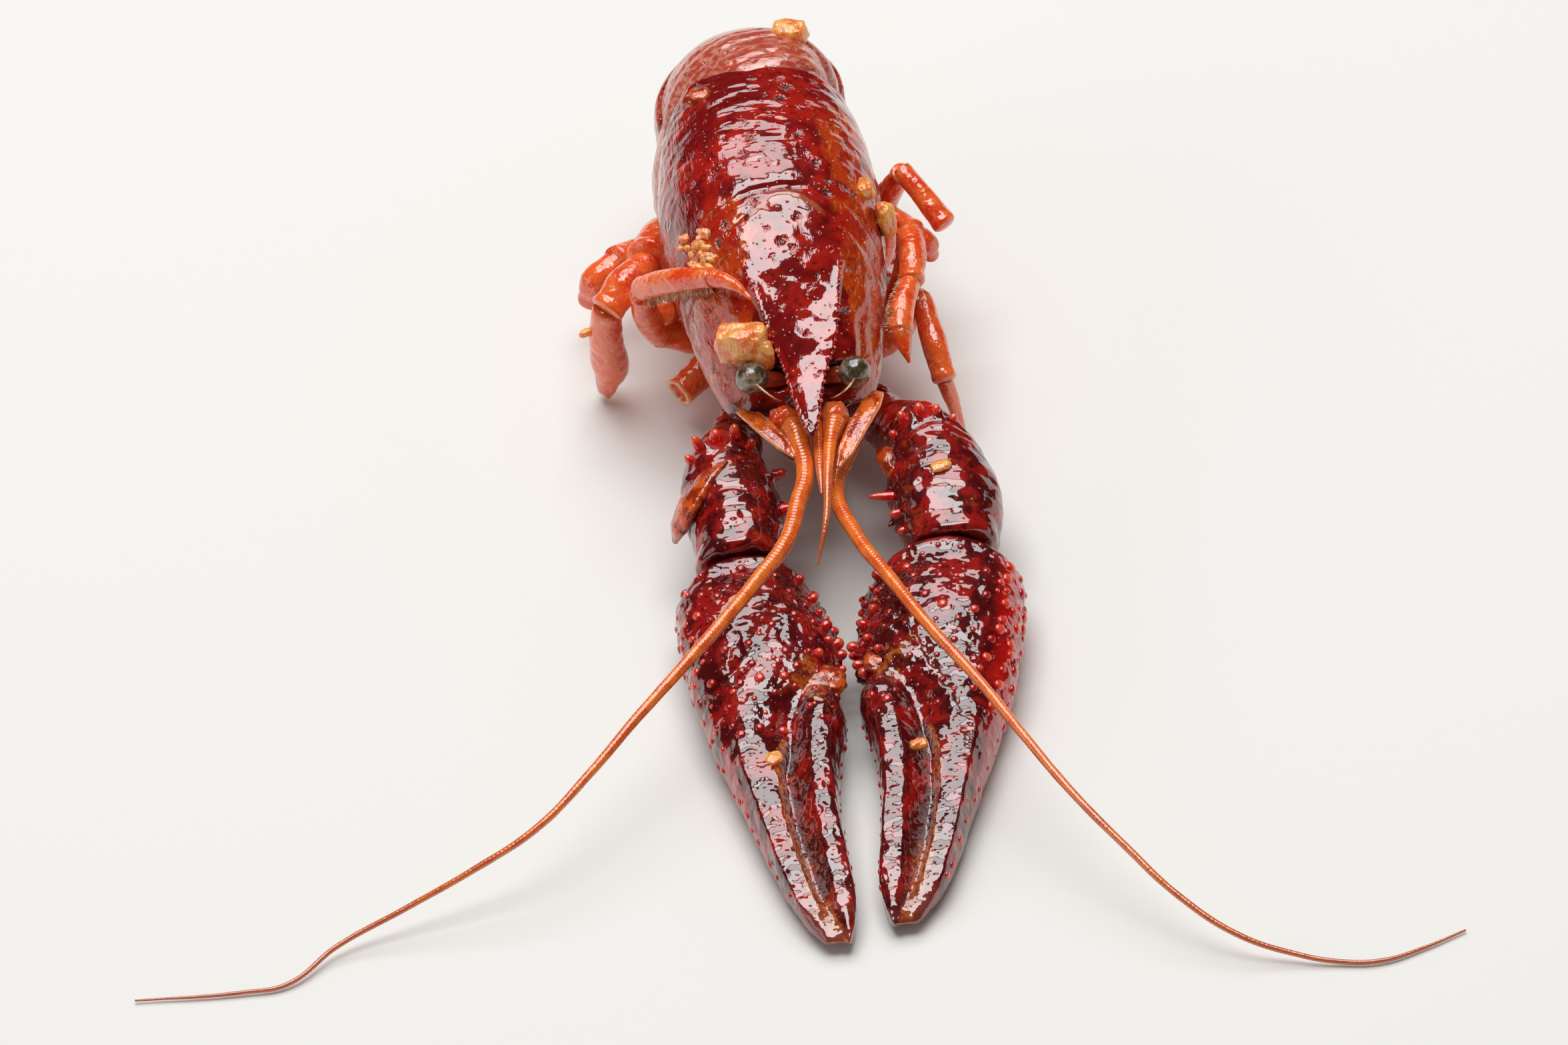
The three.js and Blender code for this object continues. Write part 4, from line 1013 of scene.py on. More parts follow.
def sauce_material():
    """Thick chilli sauce with minced garlic in it: orange red, half clear, glossy."""
    material, tree, place, _ = new_material("chilli_sauce")
    broad = clouds(tree, place, 1.3 * MM, detail=4)
    colour = stained(tree, "98280a", ("dc5c1c", broad, 0.42, 0.6, 1))
    bump = relief(tree, (broad, 0.25), (clouds(tree, place, 0.5 * MM), 0.06))
    return oiled(material, colour, bump, 0.4, 0.05, **translucent(0.3, 1.2, (1.0, 0.4, 0.1)))


def drop_material():
    """A drop of chilli oil: orange red liquid with a mirror surface."""
    material, tree, place, _ = new_material("chilli_oil_drop")
    colour = stained(tree, "a01c0c", ("e08a50", clouds(tree, place, 1.5 * MM), 0.4, 0.6, 1))
    return oiled(material, colour, relief(tree, (clouds(tree, place, 0.3 * MM), 0.01)), 0.3, 0.03)


def bristle_material():
    """A fine bristle: bare chitin hair, straw to orange, dull."""
    material, tree, place, _ = new_material("chitin_bristle")
    colour = stained(tree, "c07850", ("e8c8a4", clouds(tree, place, 1 * MM), 0.4, 0.6, 1))
    shader = put(tree, "BsdfPrincipled", {"Base Color": colour, "Roughness": 0.5})
    put(tree, "OutputMaterial", {"Surface": shader})
    return material


def floor_material(colours):
    """Plain matt board, so pale that it only shows soft shadows."""
    material, tree, place, _ = new_material("matt_board")
    bump = relief(tree, (clouds(tree, place, 4 * MM), 0.02))
    inputs = {"Base Color": colours.floor_white, "Roughness": 0.7, "Normal": bump}
    shader = put(tree, "BsdfPrincipled", inputs)
    put(tree, "OutputMaterial", {"Surface": shader})
    return material


# ---------------------------------------------------------------- carapace


def carapace(sizes, colours):
    """The carapace's skin: its neck groove, low swellings and streaks, and the beak's wider right side."""
    piece = skin_of("shell_back", ["carapace"], sizes.shell_grain)
    points = points_of(piece)
    x, y, height = within(points, TRUNK).T
    station = -y
    bulge = (BEAK_BULGE * MM * hill(station, *BULGE_PLACE) * ease(x, 1.2, 3.2) * (1 - ease(x, 5.5, 7.5))
             * ease(height, -3, 0))
    rim = MM * (0.7 + 0.9 * ease(np.abs(x), 4, 9)) * (1 - ease(station, 0, 3.5))
    points += (bulge[:, None] * axis_of(TRUNK, 0) + rim[:, None] * axis_of(TRUNK, 1)) / MM
    place_points(piece, points)
    bend = GROOVE_TOP + GROOVE_SLOPE * (np.hypot(x, GROOVE_BEND) - GROOVE_BEND)
    ahead = (station - bend) / math.hypot(1, GROOVE_SLOPE) * ease(height, -12, -6)
    upper = ease(height, -9, -3)
    push = sizes.lump_height * swellings(points, (1, 3.6, 1), (0.6, 1.5, 2))
    push += MM * upper * (0.1 * hill(ahead, 1.0, 0.7) - 0.14 * hill(ahead, 0, 0.35))
    push -= 0.1 * MM * hill(station, 1.4, 0.35) * upper
    push_out(piece, push)
    ragged = 0.5 * ripple(points, 2.2 * MM, 16)
    cheek = ease(station, 22, 30) * ease(np.abs(x), 3.0, 8.0) * np.where(x < 0, 0.75, 0.3)
    left_patch = hill(station, 24, 4.5) * hill(x, -7, 3.2)
    right_side = 0.72 * ease(x, 4, 8) * ease(station, 3, 10)
    orange = cheek + 0.9 * left_patch + right_side + 0.5 * ease(-height, 7, 14) + ragged
    facing_front = normals_of(piece) @ (-axis_of(TRUNK, 1) / MM)
    paint(
        piece,
        orange=np.clip(orange, 0, 1),
        groove=hill(ahead, 0.8, 0.6) * upper * ease(-np.abs(x), -6, -3),
        rear=1 - ease(station, 15, 20),
        streak=np.clip(ease(-x, 6.0, 10.5) + 0.5 * ease(x, 7, 11) + 0.12, 0, 1),
        # Where the painted reflection lies: low on the left flank, beside the cheek
        veil=ease(-x, 8.5, 11.5) * ease(station, 24, 30) * (1 - ease(station, 40, 43)),
        # Painted shade: the forward-facing wall under the beak, between the eyes, where the recess lies in
        # shade
        hollow=ease(facing_front, 0.4, 0.7) * ease(station, 36, 38) * ease(-height, -1.5, 0.5),
    )
    finish(piece, carapace_material(colours), ["carapace"])
    return piece


def beak_beads(shell, colours):
    """Small beads along both margins of the beak."""
    draw = random.Random(12)
    surface = surface_of(shell)
    pace = 0.8
    middling = 0.26 * MM
    stations, halves, heights = zip(*BEAK_MARGIN)
    middle, length = BULGE_PLACE
    seeds = []
    for side in OUTWARDS.values():
        for station in np.arange(stations[0], stations[-1], pace):
            half = np.interp(station, stations, halves)
            height = np.interp(station, stations, heights)
            wider = BEAK_BULGE * math.exp(-((station - middle) / length) ** 2) * (side > 0)
            margin = TRUNK @ Vector((side * (half + wider), -station, height))
            place, outward, _, _ = surface.find_nearest(margin)
            radius = middling * draw.uniform(0.7, 1.1)
            seeds.append((place, outward, radius, radius, draw.uniform(0.2, 1)))
    finish(sow("beak_beads", seeds), bead_material(colours))


def oil_drops(shell, sizes):
    """Drops of oil and specks of sauce over the carapace's back and sides."""
    draw = random.Random(11)
    surface = surface_of(shell)
    above = 20
    flatness = 0.5
    seeds = []
    while len(seeds) < sizes.droplets:
        start = TRUNK @ Vector((draw.uniform(-15, 15), -draw.uniform(0, 45), above))
        down = (TRUNK @ Vector((0, 0, 0)) - TRUNK @ Vector((draw.uniform(-12, 12), 0, 14))).normalized()
        place, outward, _, _ = surface.ray_cast(start, down)
        if place is not None:
            radius = draw.uniform(0.1, 0.24) * MM
            seeds.append((place, outward, radius, radius * flatness, 1))
    finish(sow("oil_drops", seeds), drop_material())


# ---------------------------------------------------------------- tail


def tail_ring(number, sizes, material):
    """One ring of the tail's armour, drawn over the ring behind it and under the one before it."""
    piece = skin_of(f"tail_ring_{number}", [f"abdomen_{number}"], sizes.shell_grain * 1.1, smoothing=4)
    points = points_of(piece)
    x, y, z = within(points, TAIL).T
    turn = np.arctan2(y, z - CURL_HEIGHT)
    turn = np.where(turn < -math.pi / 2, turn + 2 * math.pi, turn)
    radius = np.hypot(y, z - CURL_HEIGHT)
    outer = ease(radius, 5, 10)
    share = across(np.degrees(turn), np.zeros_like(turn))
    front_lap = FIRST_FRONT_LAP if number == 1 else FRONT_LAP
    lap = REAR_LAP * ease(share, 0.2, 1) - front_lap * ease(-share, 0.2, 1)
    turn += np.radians(lap) * outer
    radius -= 0.5 * ease(-share, 0.6, 1) * outer
    laid = np.stack([x, radius * np.sin(turn), CURL_HEIGHT + radius * np.cos(turn)], axis=1)
    place_points(piece, laid @ np.array(TAIL.to_3x3()).T + np.array(TAIL.translation))
    points = points_of(piece)
    push = sizes.lump_height * swellings(points, (0.7, 3.5, number), (0.4, 1.6, 20))
    push += MM * outer * (0.2 * ease(share, 0.55, 0.9) - 0.14 * hill(share, -0.2, 0.12))
    push_out(piece, push)
    edge = outer * (0.6 * hill(share, 0.85, 0.1) + hill(share, -0.2, 0.08))
    # The front rings get the painted sheen at full strength, the hidden ones at half
    pale = 1 if number <= SHEEN_RINGS else 0.5
    paint(piece, edge=edge, pale=np.full(len(points), pale))
    finish(piece, material, [f"abdomen_{number}"])


def fan_plate(node, sizes, material):
    """One plate of the tail fan, longer than its solid, with a rib and pale edges."""
    piece = skin_of(f"fan_{node}", [node], sizes.limb_grain, smoothing=3)
    points = points_of(piece)
    x, y, _ = within(points, TAIL).T
    points += (1.3 * MM * ease(y, y.max() - 3.5, y.max()))[:, None] * axis_of(TAIL, 1) / MM
    place_points(piece, points)
    rib = np.abs(across(x, y))
    push_out(piece, MM * (0.14 * hill(rib, 0, 0.16) - 0.06 * hill(rib, 0.5, 0.14)))
    # The fan plates get the painted sheen at half strength
    paint(piece, edge=ease(rib, 0.75, 1.0), pale=np.full(len(points), 0.5))
    finish(piece, material, [node])


def tail(sizes, colours):
    """The tail's six rings of armour, the plates of its fan, and the loose flap at its left."""
    material = tail_material(colours)
    for number in range(1, 7):
        tail_ring(number, sizes, material)
    for node in FAN:
        fan_plate(node, sizes, material)
    flap = blade("tail_flap_left", *TAIL_FLAP)
    # The flap gets the painted sheen at full strength
    paint(flap, pale=np.ones(len(flap.data.vertices)))
    finish(flap, material)


# ---------------------------------------------------------------- claws


def finger_lines(station):
    """The lines of a claw's two shut fingers at each station, in the order of their table."""
    stations, *lines = np.array(FINGER_LINES).T
    return [np.interp(station, stations, line) for line in lines]


def finger_crests(piece, side):
    """Forms the upper side of the two shut fingers: a broad flat crest, a sharp cleft, a round crest."""
    points = points_of(piece)
    x, y, z = within(points, claw_frame(side)).T
    station = -y
    cleft, fixed, moving, fixed_top, moving_top = finger_lines(station)
    before_tip = 1 - ease(station, 49, 55)
    floor_height = np.minimum(fixed_top, moving_top) - 0.4 - 1.8 * before_tip
    plateau = np.minimum(fixed_top - 0.06 * (x - fixed) ** 2, floor_height + 2.4 * (x - cleft))
    lean = (moving_top - 0.1 - floor_height) / (cleft - moving - 1)
    crest = np.minimum(moving_top - (x - moving) ** 2 / 9, floor_height + lean * (cleft - x))
    target = np.where(x > cleft, plateau, crest)
    on_top = ease(z / fixed_top, 0.4, 0.55) * ease(station, 25, 30) * before_tip
    on_top *= ease(x, moving - 2.2, moving - 1.2) * (1 - ease(x, fixed + 1.3, fixed + 2.0))
    points[:, 2] += MM * on_top * (target - z)
    place_points(piece, points)


def fill_wrist(piece, side):
    """Fills out the shells that meet at a wrist, so that the outline runs on from one to the other."""
    fill = WRIST_FILL[side]
    middle_x, middle_y = fill["at"]
    half_width = 4.5
    raised = 1.5
    points = points_of(piece)
    x, y, z = within(points, BODY).T
    outward = OUTWARDS[side]
    lean = np.clip((x - middle_x) * outward / half_width, -1, 1)
    filled = hill(y, middle_y, 2.7) * np.where(lean > 0, fill["outer"], fill["inner"])
    drawn = fill["drawn"] * hill(y, middle_y + 6.4, 3.4) * (lean > 0)
    points[:, 0] += MM * outward * (filled - drawn) * lean
    points[:, 2] += MM * raised * hill(y, middle_y + 1, 1.9) * ease(z, 6, 10)
    place_points(piece, points)


def round_tip(piece, side):
    """Draws a claw's two shut fingertips back into one round end."""
    points = points_of(piece)
    x, y, _ = within(points, claw_frame(side)).T
    inner_fall, outer_fall = TIP_FALL
    most = 8
    fall = np.where(x < TIP_MIDDLE, inner_fall, outer_fall) * (x - TIP_MIDDLE) ** 2
    over = np.clip(-y - (TIP_STATION - np.minimum(fall, most)), 0, None)
    place_points(piece, points + over[:, None] * axis_of(claw_frame(side), 1))


def claw(side, sizes, colours):
    """A claw's skin: the palm and its two shut fingers, with their crests, their cleft and low lumps."""
    nodes = [f"palm_{side}", f"moving_finger_{side}"]
    piece = skin_of(f"claw_shell_{side}", nodes, sizes.shell_grain, smoothing=4, closing=0.6 * MM)
    finger_crests(piece, side)
    fill_wrist(piece, side)
    points = points_of(piece)
    x, y, _ = within(points, claw_frame(side)).T
    station = -y
    cleft, fixed = (x - line for line in finger_lines(station)[:2])
    on_fingers = ease(station, 23, 29)
    push = sizes.lump_height * swellings(points, (1.4, 3.0, 3), (1.1, 1.3, 4))
    push_out(piece, push * (1 - 0.5 * on_fingers))
    round_tip(piece, side)
    outer = ease(x, 5.5, 8.5) if side == "right" else 0.5 * ease(x, 7.5, 9.5)
    outer_finger = on_fingers * ease(fixed, 1.6, 2.6)
    ragged = 0.3 * ripple(points, 2.2 * MM, 6)
    strip = on_fingers * hill(cleft, 0.7, 0.5)
    smear = ease(station, 41, 47) * hill(cleft, 0.4, 1.2)
    root = hill(station, 20.5, 4.0) * hill(x, -4.0, 3.4)
    paint(
        piece,
        tip=ease(station, 46, 56) * (0.7 + 0.5 * ripple(points, 1.6 * MM, 5)),
        bright=np.clip(outer * (1 - on_fingers) + 0.8 * outer_finger, 0, 1),
        film=np.clip(0.85 * strip + 0.6 * smear + 0.55 * root + ragged, 0, 1),
    )
    finish(piece, claw_material(colours), nodes)
    return piece


def cast_seeds(surface, matrix, origins, direction, flatness, tone):
    """Beads where rays from points of a claw's frame meet its skin. A point has a radius and a shade."""
    toward = (matrix.to_3x3() @ Vector(direction)).normalized()
    seeds = []
    for origin, radius, shade in origins:
        place, outward, _, _ = surface.ray_cast(matrix @ Vector(origin), toward)
        if place is not None:
            seeds.append((place, outward, radius, radius * flatness, min(1, tone * shade)))
    return seeds


def palm_origins(draw, spacing, radius):
    """Random points above a palm, no two closer than the spacing, each with a radius and a shade."""
    chosen = []
    for _ in range(PALM_FIELD["tries"]):
        x = draw.uniform(*PALM_FIELD["across"])
        station = draw.uniform(*PALM_FIELD["along"])
        if all((x - a) ** 2 + (station - b) ** 2 > (spacing * draw.uniform(0.7, 1.3)) ** 2
               for a, b, *_ in chosen):
            chosen.append((x, station, radius * draw.uniform(0.5, 1.6), draw.random() ** 2))
    return [((x, -station, PALM_FIELD["above"]), size, shade) for x, station, size, shade in chosen]


def edge_origins(draw, x, heights, first, last, pace, radius):
    """Points beside a claw, in loose rows along its edge, each with a radius and a shade."""
    origins = []
    for height in heights:
        station = first + draw.uniform(0, pace)
        while station < last:
            spot = (x, -station, height + draw.uniform(-0.5, 0.5))
            origins.append((spot, radius * draw.uniform(0.6, 1.3), draw.uniform(0.3, 1)))
            station += pace * draw.uniform(0.7, 1.5)
    return origins


def claw_beads(side, shell, sizes, colours):
    """Beads of a claw: scattered on its palm, larger along its inner edge, small along its fingers."""
    draw = random.Random(21 if side == "left" else 22)
    matrix = claw_frame(side)
    surface = surface_of(shell)
    origins = palm_origins(draw, sizes.bead_spacing / MM, sizes.bead_radius)
    seeds = cast_seeds(surface, matrix, origins, (0, 0, -1), 0.55, 1)
    for edge, heights, first, last, pace, size, flatness, tone in EDGE_BEADS[side]:
        radius = sizes.bead_radius * size
        origins = edge_origins(draw, edge * BESIDE_CLAW, heights, first, last, pace, radius)
        seeds += cast_seeds(surface, matrix, origins, (-edge, 0, 0), flatness, tone)
    finish(sow(f"claw_beads_{side}", seeds), bead_material(colours))


# ---------------------------------------------------------------- arms and legs


def arm_joint(node, side, sizes, material):
    """One joint of an arm behind its claw, with low curved folds."""
    piece = skin_of(f"arm_{node}_{side}", [f"{node}_{side}"], sizes.limb_grain, smoothing=4)
    if node == "carpus":
        fill_wrist(piece, side)
    points = points_of(piece)
    x, y, _ = within(points, BODY).T
    bow = y + 0.04 * (x - ARM_MIDDLE[side]) ** 2 + 1.2 * ripple(points, 3 * MM, 7)
    pace = 1.9
    folds = np.sin(2 * math.pi * bow / pace) * ease(y, -49, -44)
    lumps = sizes.lump_height * swellings(points, (1.2, 2.4, 8), (1, 1.2, 17))
    push_out(piece, MM * 0.11 * folds + lumps)
    paint(piece, hind=ease(y, -46, -42) * (0.5 + 0.5 * ripple(points, 1.6 * MM, 18)))
    finish(piece, material, [f"{node}_{side}"])


def arms(side, sizes, colours):
    """The three arm joints behind a claw, and the blunt spines of the outermost one."""
    material = arm_material(colours)
    for node in ("carpus", "merus", "ischium"):
        arm_joint(node, side, sizes, material)
    turn = BODY.to_3x3()
    seeds = []
    for place, direction, radius, height in ARM_SPINES[side]:
        seeds.append((BODY @ Vector(place), turn @ Vector(direction), radius * MM, height * MM, 1))
    finish(sow(f"arm_spines_{side}", seeds), bead_material(colours))


def wrist_flap():
    """A strap of sauce and loose skin over the left wrist's outer side."""
    finish(blade("wrist_flap_left", *WRIST_FLAP), sauce_material())


def hollow_end(piece, end, inward):
    """Turns the flat cap nearest to a place into a cut end with a rim."""
    choose(piece)
    bpy.ops.object.mode_set(mode="EDIT")
    bpy.ops.mesh.select_all(action="DESELECT")
    bpy.ops.object.mode_set(mode="OBJECT")
    for face in piece.data.polygons:
        face.select = len(face.vertices) == 3 and (face.center - end).length < 3 * MM
    bpy.ops.object.mode_set(mode="EDIT")
    bpy.ops.mesh.dissolve_faces()
    bpy.ops.mesh.inset(thickness=0.4 * MM)
    bpy.ops.mesh.extrude_region_move(TRANSFORM_OT_translate={"value": inward * 0.5 * MM})
    bpy.ops.mesh.inset(thickness=0.35 * MM)
    bpy.ops.object.mode_set(mode="OBJECT")


def along_line(start, end, distance, radius):
    """A row of a leg: the place so many millimetres from one row towards another, with its own radius."""
    share = distance / math.dist(start[:3], end[:3])
    return tuple(a + (b - a) * share for a, b in zip(start[:3], end[:3])) + (radius,)


def joint_rows(rows, cut):
    """Rows of one joint of a leg: a narrow root and, unless it is cut off, a flared and rounded end."""
    first, second, before, last = rows[0], rows[1], rows[-2], rows[-1]
    shaped = [(*first[:3], 0.9 * first[3]), along_line(first, second, 0.6, first[3]), *rows[1:-1]]
    if cut or last[3] < POINTED:
        return [*shaped, last]
    return shaped + [along_line(last, before, back, last[3] * share) for back, share in LEG_END]


def leg_joint(name, rows, sizes, cut):
    """One joint's shell of a leg: a lumpy tapering tube."""
    piece = strung(name, joint_rows(rows, cut), sides=28, cuts=10)
    before, end = (BODY @ Vector(row[:3]) for row in rows[-2:])
    if cut == "open":
        hollow_end(piece, end, (before - end).normalized())
    points = points_of(piece)
    along, _ = follow(points, rows)
    length = lengths_along(rows)[-1]
    push_out(piece, sizes.lump_height * swellings(points, (1.1, 2.4, 9), (0.5, 0.9, 10)))
    if cut == "torn":
        points = points_of(piece)
        downward = np.array((end - before).normalized())
        slant = -0.65 * (within(points, BODY)[:, 0] - rows[-1][0])
        ragged = 1.4 * ripple(points, 0.9 * MM, 19)
        tear = MM * ease(along, length - 2.0 * MM, length - 0.7 * MM) * (slant + ragged)
        place_points(piece, points + tear[:, None] * downward)
    joint = 1 - ease(along, 0, 0.9 * MM)
    paint(piece, joint=joint, flesh=ease(along, length - 0.3 * MM, length) * bool(cut))
    return piece


def leg(node, sizes, material):
    """One walking leg, joint after joint, in one piece."""
    shells = []
    for number, rows in enumerate(LEGS[node]):
        cut = LEG_CUTS.get(node, "") if number == len(LEGS[node]) - 1 else ""
        shells.append(leg_joint(f"walking_{node}", rows, sizes, cut))
    piece = joined(shells)
    finish(piece, material, [node])
    return piece


def leg_hairs(node, piece, material):
    """Short hairs along one edge of a leg's joint."""
    draw = random.Random(41)
    number, side, length = LEG_HAIRS[node]
    rows = LEGS[node][number]
    surface = surface_of(piece)
    seeds = []
    for _ in range(HAIRS_EACH):
        start = Vector(rows[0][:3]).lerp(Vector(rows[-1][:3]), draw.uniform(0.05, 0.95))
        spread = Vector([draw.gauss(0, 0.35) for _ in range(3)])
        place = surface.find_nearest(BODY @ (start + Vector(side) + spread))[0]
        lean = BODY.to_3x3() @ (Vector(side).normalized() + spread * 0.8)
        seeds.append((place, lean, 0.08 * MM, draw.uniform(0.5, 1.0) * length * MM, 1))
    finish(sow(f"hairs_{node}", seeds), material)


# ---------------------------------------------------------------- feelers, eyes and mouth


def feeler(node, sizes, material):
    """One feeler: a string with fine rings raised along it."""
    rows = FEELERS[node]
    piece = strung(f"{node}_whip", rows, sides=12, cuts=56)
    points = points_of(piece)
    along, feet = follow(points, rows)
    radius = np.linalg.norm(points - feet, axis=1)
    wave = np.sin(2 * math.pi * along / sizes.feeler_ring)
    push_out(piece, 0.025 * radius * wave + 0.04 * radius * ripple(points, 1.6 * MM, 23))
    paint(piece, along=along / along.max(), ring=ease(wave, 0, 1))
    finish(piece, material, [node])


def eye(side):
    """An eye: a true ball on its short stalk."""
    grain = 0.16 * MM
    piece = skin_of(f"eye_ball_{side}", [f"eye_{side}"], grain, smoothing=3)
    x, *rest = EYE_PLACE
    centre = np.array(TRUNK @ Vector((OUTWARDS[side] * x, *rest)))
    points = points_of(piece)
    arms_out = points - centre
    distance = np.linalg.norm(arms_out, axis=1)
    ball = ease(distance, 1.2 * MM, 1.4 * MM) * (1 - ease(distance, 2.0 * MM, 2.2 * MM))
    rounded = centre + arms_out * (EYE_RADIUS * MM / distance)[:, None]
    place_points(piece, points + (rounded - points) * ball[:, None])
    paint(piece, ball=1 - ease(distance, 1.95 * MM, 2.15 * MM))
    finish(piece, eye_material(), [f"eye_{side}"])


def eye_bristles():
    """The pale bristle that runs from each eye towards the beak."""
    material = bristle_material()
    for side, sign in OUTWARDS.items():
        rows = [(sign * x, *rest) for x, *rest in EYE_BRISTLE]
        finish(strung(f"eye_bristle_{side}", rows, sides=6, cuts=8, matrix=TRUNK), material)


def underside(sizes, colours):
    """The belly between the legs, and the mouth's two outer feet."""
    material = belly_material(colours)
    for node in ("underside", "maxilliped_left", "maxilliped_right"):
        piece = skin_of(f"belly_{node}", [node], sizes.limb_grain * 1.3, smoothing=4)
        points = points_of(piece)
        push_out(piece, sizes.lump_height * swellings(points, (1.2, 2.8, 13), (0.5, 1.2, 14)))
        finish(piece, material, [node])


# ---------------------------------------------------------------- toppings


def toppings(colours):
    """Lumps of garlic and sauce that stick to the shells, and the knobs at the feelers' roots."""
    finishes = {
        "garlic": garlic_material(colours),
        "sauce": sauce_material(),
        "root": leg_material(colours),
    }
    for seed, (name, (*form, kind)) in enumerate(TOPPINGS.items()):
        finish(lump(name, *form, seed), finishes[kind])


def mince(colours):
    """Minced garlic caught between the left cheek and the leg that lies on it."""
    draw = random.Random(31)
    surface = surface_of(bpy.data.objects["shell_back"])
    bits = []
    for number in range(MINCE["count"]):
        shift = Vector([draw.gauss(0, MINCE["spread"] / 2) for _ in range(3)])
        place = surface.find_nearest(BODY @ (Vector(MINCE["at"]) + shift))[0]
        spot = within(np.array([place]), BODY)[0]
        half_sizes = [draw.uniform(0.25, 0.75) for _ in range(3)]
        bits.append(lump(f"mince_{number}", spot, half_sizes, draw.uniform(0, 180), 0.3, number))
        apply_modifier(bits[-1], "DECIMATE", ratio=0.12)
    piece = joined(bits)
    piece.name = "minced_garlic"
    finish(piece, garlic_material(colours, "minced_garlic", 0.8))


# ---------------------------------------------------------------- stage


def floor(colours):
    """A wide pale floor just under the crayfish."""
    bpy.ops.object.select_all(action="DESELECT")
    bpy.ops.mesh.primitive_plane_add(size=6, location=(0, 0, CAD_BOX[0].z))
    plane = bpy.context.object
    plane.name = "floor"
    with edit_mode():
        bpy.ops.mesh.subdivide(number_cuts=8)
    plane.data.materials.append(floor_material(colours))


def soft_light(name, place, target, width, depth, power):
    """A rectangular soft light that faces a target, both in the body's millimetres."""
    lamp = bpy.data.lights.new(name, "AREA")
    lamp.shape = "RECTANGLE"
    lamp.size = width
    lamp.size_y = depth
    lamp.energy = power
    piece = bpy.data.objects.new(name, lamp)
    bpy.context.collection.objects.link(piece)
    start = BODY @ Vector(place)
    piece.location = start
    piece.rotation_euler = (BODY @ Vector(target) - start).to_track_quat("-Z", "Y").to_euler()


def lights():
    """The soft boxes, and a pale room that the wet shells don't mirror."""
    for name, box in SOFTBOXES.items():
        soft_light(name, *box)
    world = bpy.data.worlds.new("pale_room")
    bpy.context.scene.world = world
    world.use_nodes = True
    background = world.node_tree.nodes["Background"]
    background.inputs["Color"].default_value = linear(ROOM_COLOUR)
    background.inputs["Strength"].default_value = ROOM_STRENGTH
    world.cycles_visibility.glossy = False
    bpy.context.scene.view_settings.view_transform = "Standard"


def camera():
    """The camera at its viewing angle, turned from its level line of sight to the aimed pixel."""
    data = bpy.data.cameras.new("camera")
    data.sensor_width = SENSOR_WIDTH
    data.lens = CAMERA_LENS
    data.clip_start = 0.01
    piece = bpy.data.objects.new("camera", data)
    bpy.context.collection.objects.link(piece)
    turn = Matrix.Rotation(CAMERA_TURN, 3, "Z")
    forward = turn @ Vector((0, math.cos(CAMERA_DOWN), -math.sin(CAMERA_DOWN)))
    right = turn @ Vector((1, 0, 0))
    up = right.cross(forward)
    level = Matrix((right, up, -forward)).transposed()
    aim = (forward * FOCAL_PIXELS
           + right * (AIM_PIXEL[0] - PICTURE[0] / 2)
           - up * (AIM_PIXEL[1] - PICTURE[1] / 2)).normalized()
    swing = forward.rotation_difference(aim).to_matrix()
    piece.matrix_world = Matrix.Translation(BODY @ Vector(CAMERA_PLACE)) @ (swing @ level).to_4x4()
    bpy.context.scene.camera = piece


# ---------------------------------------------------------------- operators


def settings(context):
    """The sizes and the colours that are set on the scene."""
    return context.scene.crayfish_sizes, context.scene.crayfish_colours


class CRAYFISH_OT_carapace(bpy.types.Operator):
    """Make the carapace with the beads of its beak and its drops of oil"""

    bl_idname = "crayfish.carapace"
    bl_label = "Carapace"
    bl_options = {"REGISTER", "UNDO"}

    def execute(self, context):
        sizes, colours = settings(context)
        shell = carapace(sizes, colours)
        beak_beads(shell, colours)
        oil_drops(shell, sizes)
        return {"FINISHED"}


class CRAYFISH_OT_tail(bpy.types.Operator):
    """Make the tail's rings and its fan"""

    bl_idname = "crayfish.tail"
    bl_label = "Tail"
    bl_options = {"REGISTER", "UNDO"}

    def execute(self, context):
        tail(*settings(context))
        return {"FINISHED"}


class CRAYFISH_OT_claws(bpy.types.Operator):
    """Make both claws with their beads"""

    bl_idname = "crayfish.claws"
    bl_label = "Claws"
    bl_options = {"REGISTER", "UNDO"}

    def execute(self, context):
        sizes, colours = settings(context)
        for side in OUTWARDS:
            claw_beads(side, claw(side, sizes, colours), sizes, colours)
        return {"FINISHED"}


class CRAYFISH_OT_arms(bpy.types.Operator):
    """Make the joints of both arms, their spines and the left wrist's flap"""

    bl_idname = "crayfish.arms"
    bl_label = "Arms"
    bl_options = {"REGISTER", "UNDO"}

    def execute(self, context):
        for side in OUTWARDS:
            arms(side, *settings(context))
        wrist_flap()
        return {"FINISHED"}


class CRAYFISH_OT_legs(bpy.types.Operator):
    """Make the walking legs and their hairs"""

    bl_idname = "crayfish.legs"
    bl_label = "Legs"
    bl_options = {"REGISTER", "UNDO"}

    def execute(self, context):
        sizes, colours = settings(context)
        material = leg_material(colours)
        hair = bristle_material()
        for node in LEGS:
            piece = leg(node, sizes, material)
            if node in LEG_HAIRS:
                leg_hairs(node, piece, hair)
        return {"FINISHED"}


class CRAYFISH_OT_feelers(bpy.types.Operator):
    """Make the antennae, the antennules and the antennal scales"""

    bl_idname = "crayfish.feelers"
    bl_label = "Feelers"
    bl_options = {"REGISTER", "UNDO"}

    def execute(self, context):
        sizes, colours = settings(context)
        material = feeler_material(colours)
        for node in FEELERS:
            feeler(node, sizes, material)
        for node, form in BLADES.items():
            finish(blade(f"{node}_leaf", *form), scale_material(colours), [node])
        return {"FINISHED"}


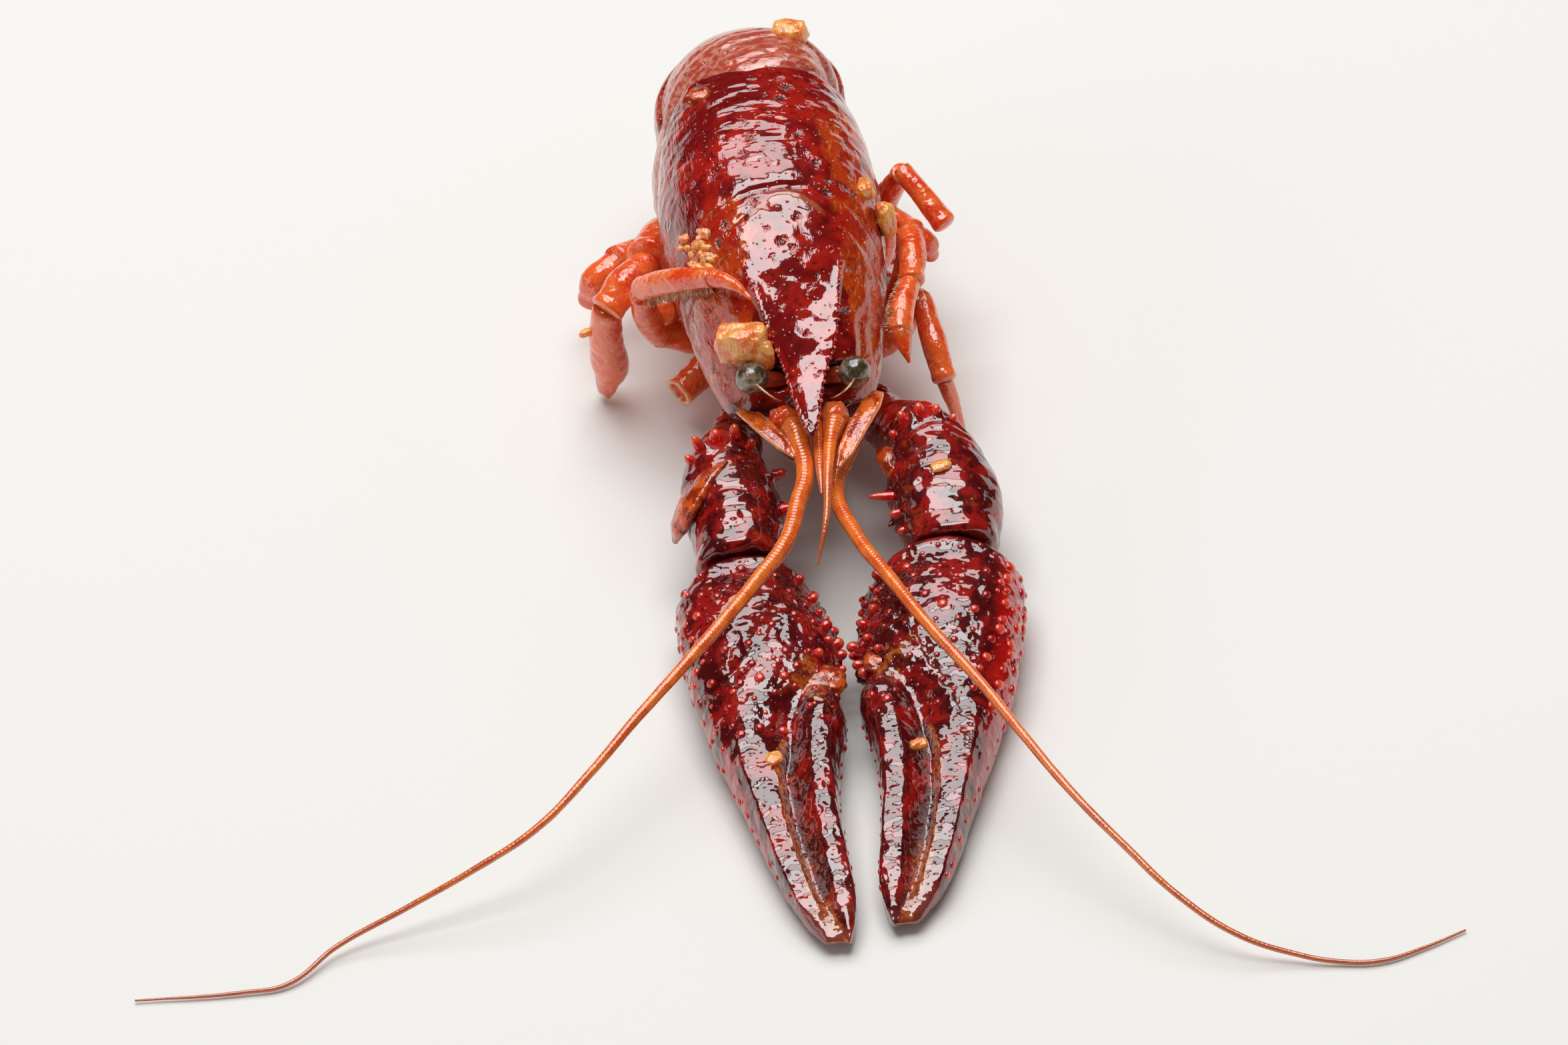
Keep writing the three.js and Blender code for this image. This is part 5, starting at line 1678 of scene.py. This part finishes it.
class CRAYFISH_OT_eyes(bpy.types.Operator):
    """Make both eyes and their bristles"""

    bl_idname = "crayfish.eyes"
    bl_label = "Eyes"
    bl_options = {"REGISTER", "UNDO"}

    def execute(self, context):
        for side in OUTWARDS:
            eye(side)
        eye_bristles()
        return {"FINISHED"}


class CRAYFISH_OT_underside(bpy.types.Operator):
    """Make the belly and the mouth's outer feet"""

    bl_idname = "crayfish.underside"
    bl_label = "Underside"
    bl_options = {"REGISTER", "UNDO"}

    def execute(self, context):
        underside(*settings(context))
        return {"FINISHED"}


class CRAYFISH_OT_toppings(bpy.types.Operator):
    """Make the garlic and the sauce that stick to the shells"""

    bl_idname = "crayfish.toppings"
    bl_label = "Toppings"
    bl_options = {"REGISTER", "UNDO"}

    def execute(self, context):
        _, colours = settings(context)
        toppings(colours)
        mince(colours)
        return {"FINISHED"}


class CRAYFISH_OT_stage(bpy.types.Operator):
    """Make the floor, the lights and the camera"""

    bl_idname = "crayfish.stage"
    bl_label = "Stage"
    bl_options = {"REGISTER", "UNDO"}

    def execute(self, context):
        _, colours = settings(context)
        floor(colours)
        lights()
        camera()
        return {"FINISHED"}


OPERATORS = (
    CRAYFISH_OT_carapace, CRAYFISH_OT_tail, CRAYFISH_OT_claws, CRAYFISH_OT_arms, CRAYFISH_OT_legs,
    CRAYFISH_OT_feelers, CRAYFISH_OT_eyes, CRAYFISH_OT_underside, CRAYFISH_OT_toppings, CRAYFISH_OT_stage,
)


class CRAYFISH_PT_panel(bpy.types.Panel):
    """Sidebar panel with the crayfish's sizes, colours and operators"""

    bl_label = "Crayfish"
    bl_space_type = "VIEW_3D"
    bl_region_type = "UI"
    bl_category = "Crayfish"

    def draw(self, context):
        for group in (context.scene.crayfish_sizes, context.scene.crayfish_colours):
            for name in group.__annotations__:
                self.layout.prop(group, name)
        for operator in OPERATORS:
            self.layout.operator(operator.bl_idname)


CLASSES = (CrayfishSizes, CrayfishColours, *OPERATORS, CRAYFISH_PT_panel)


def register():
    for cls in CLASSES:
        bpy.utils.register_class(cls)
    bpy.types.Scene.crayfish_sizes = PointerProperty(type=CrayfishSizes)
    bpy.types.Scene.crayfish_colours = PointerProperty(type=CrayfishColours)


def unregister():
    del bpy.types.Scene.crayfish_colours
    del bpy.types.Scene.crayfish_sizes
    for cls in reversed(CLASSES):
        bpy.utils.unregister_class(cls)


def main():
    """Makes everything in order."""
    register()
    for operator in OPERATORS:
        group, name = operator.bl_idname.split(".")
        getattr(getattr(bpy.ops, group), name)()


if __name__ == "__main__":
    main()
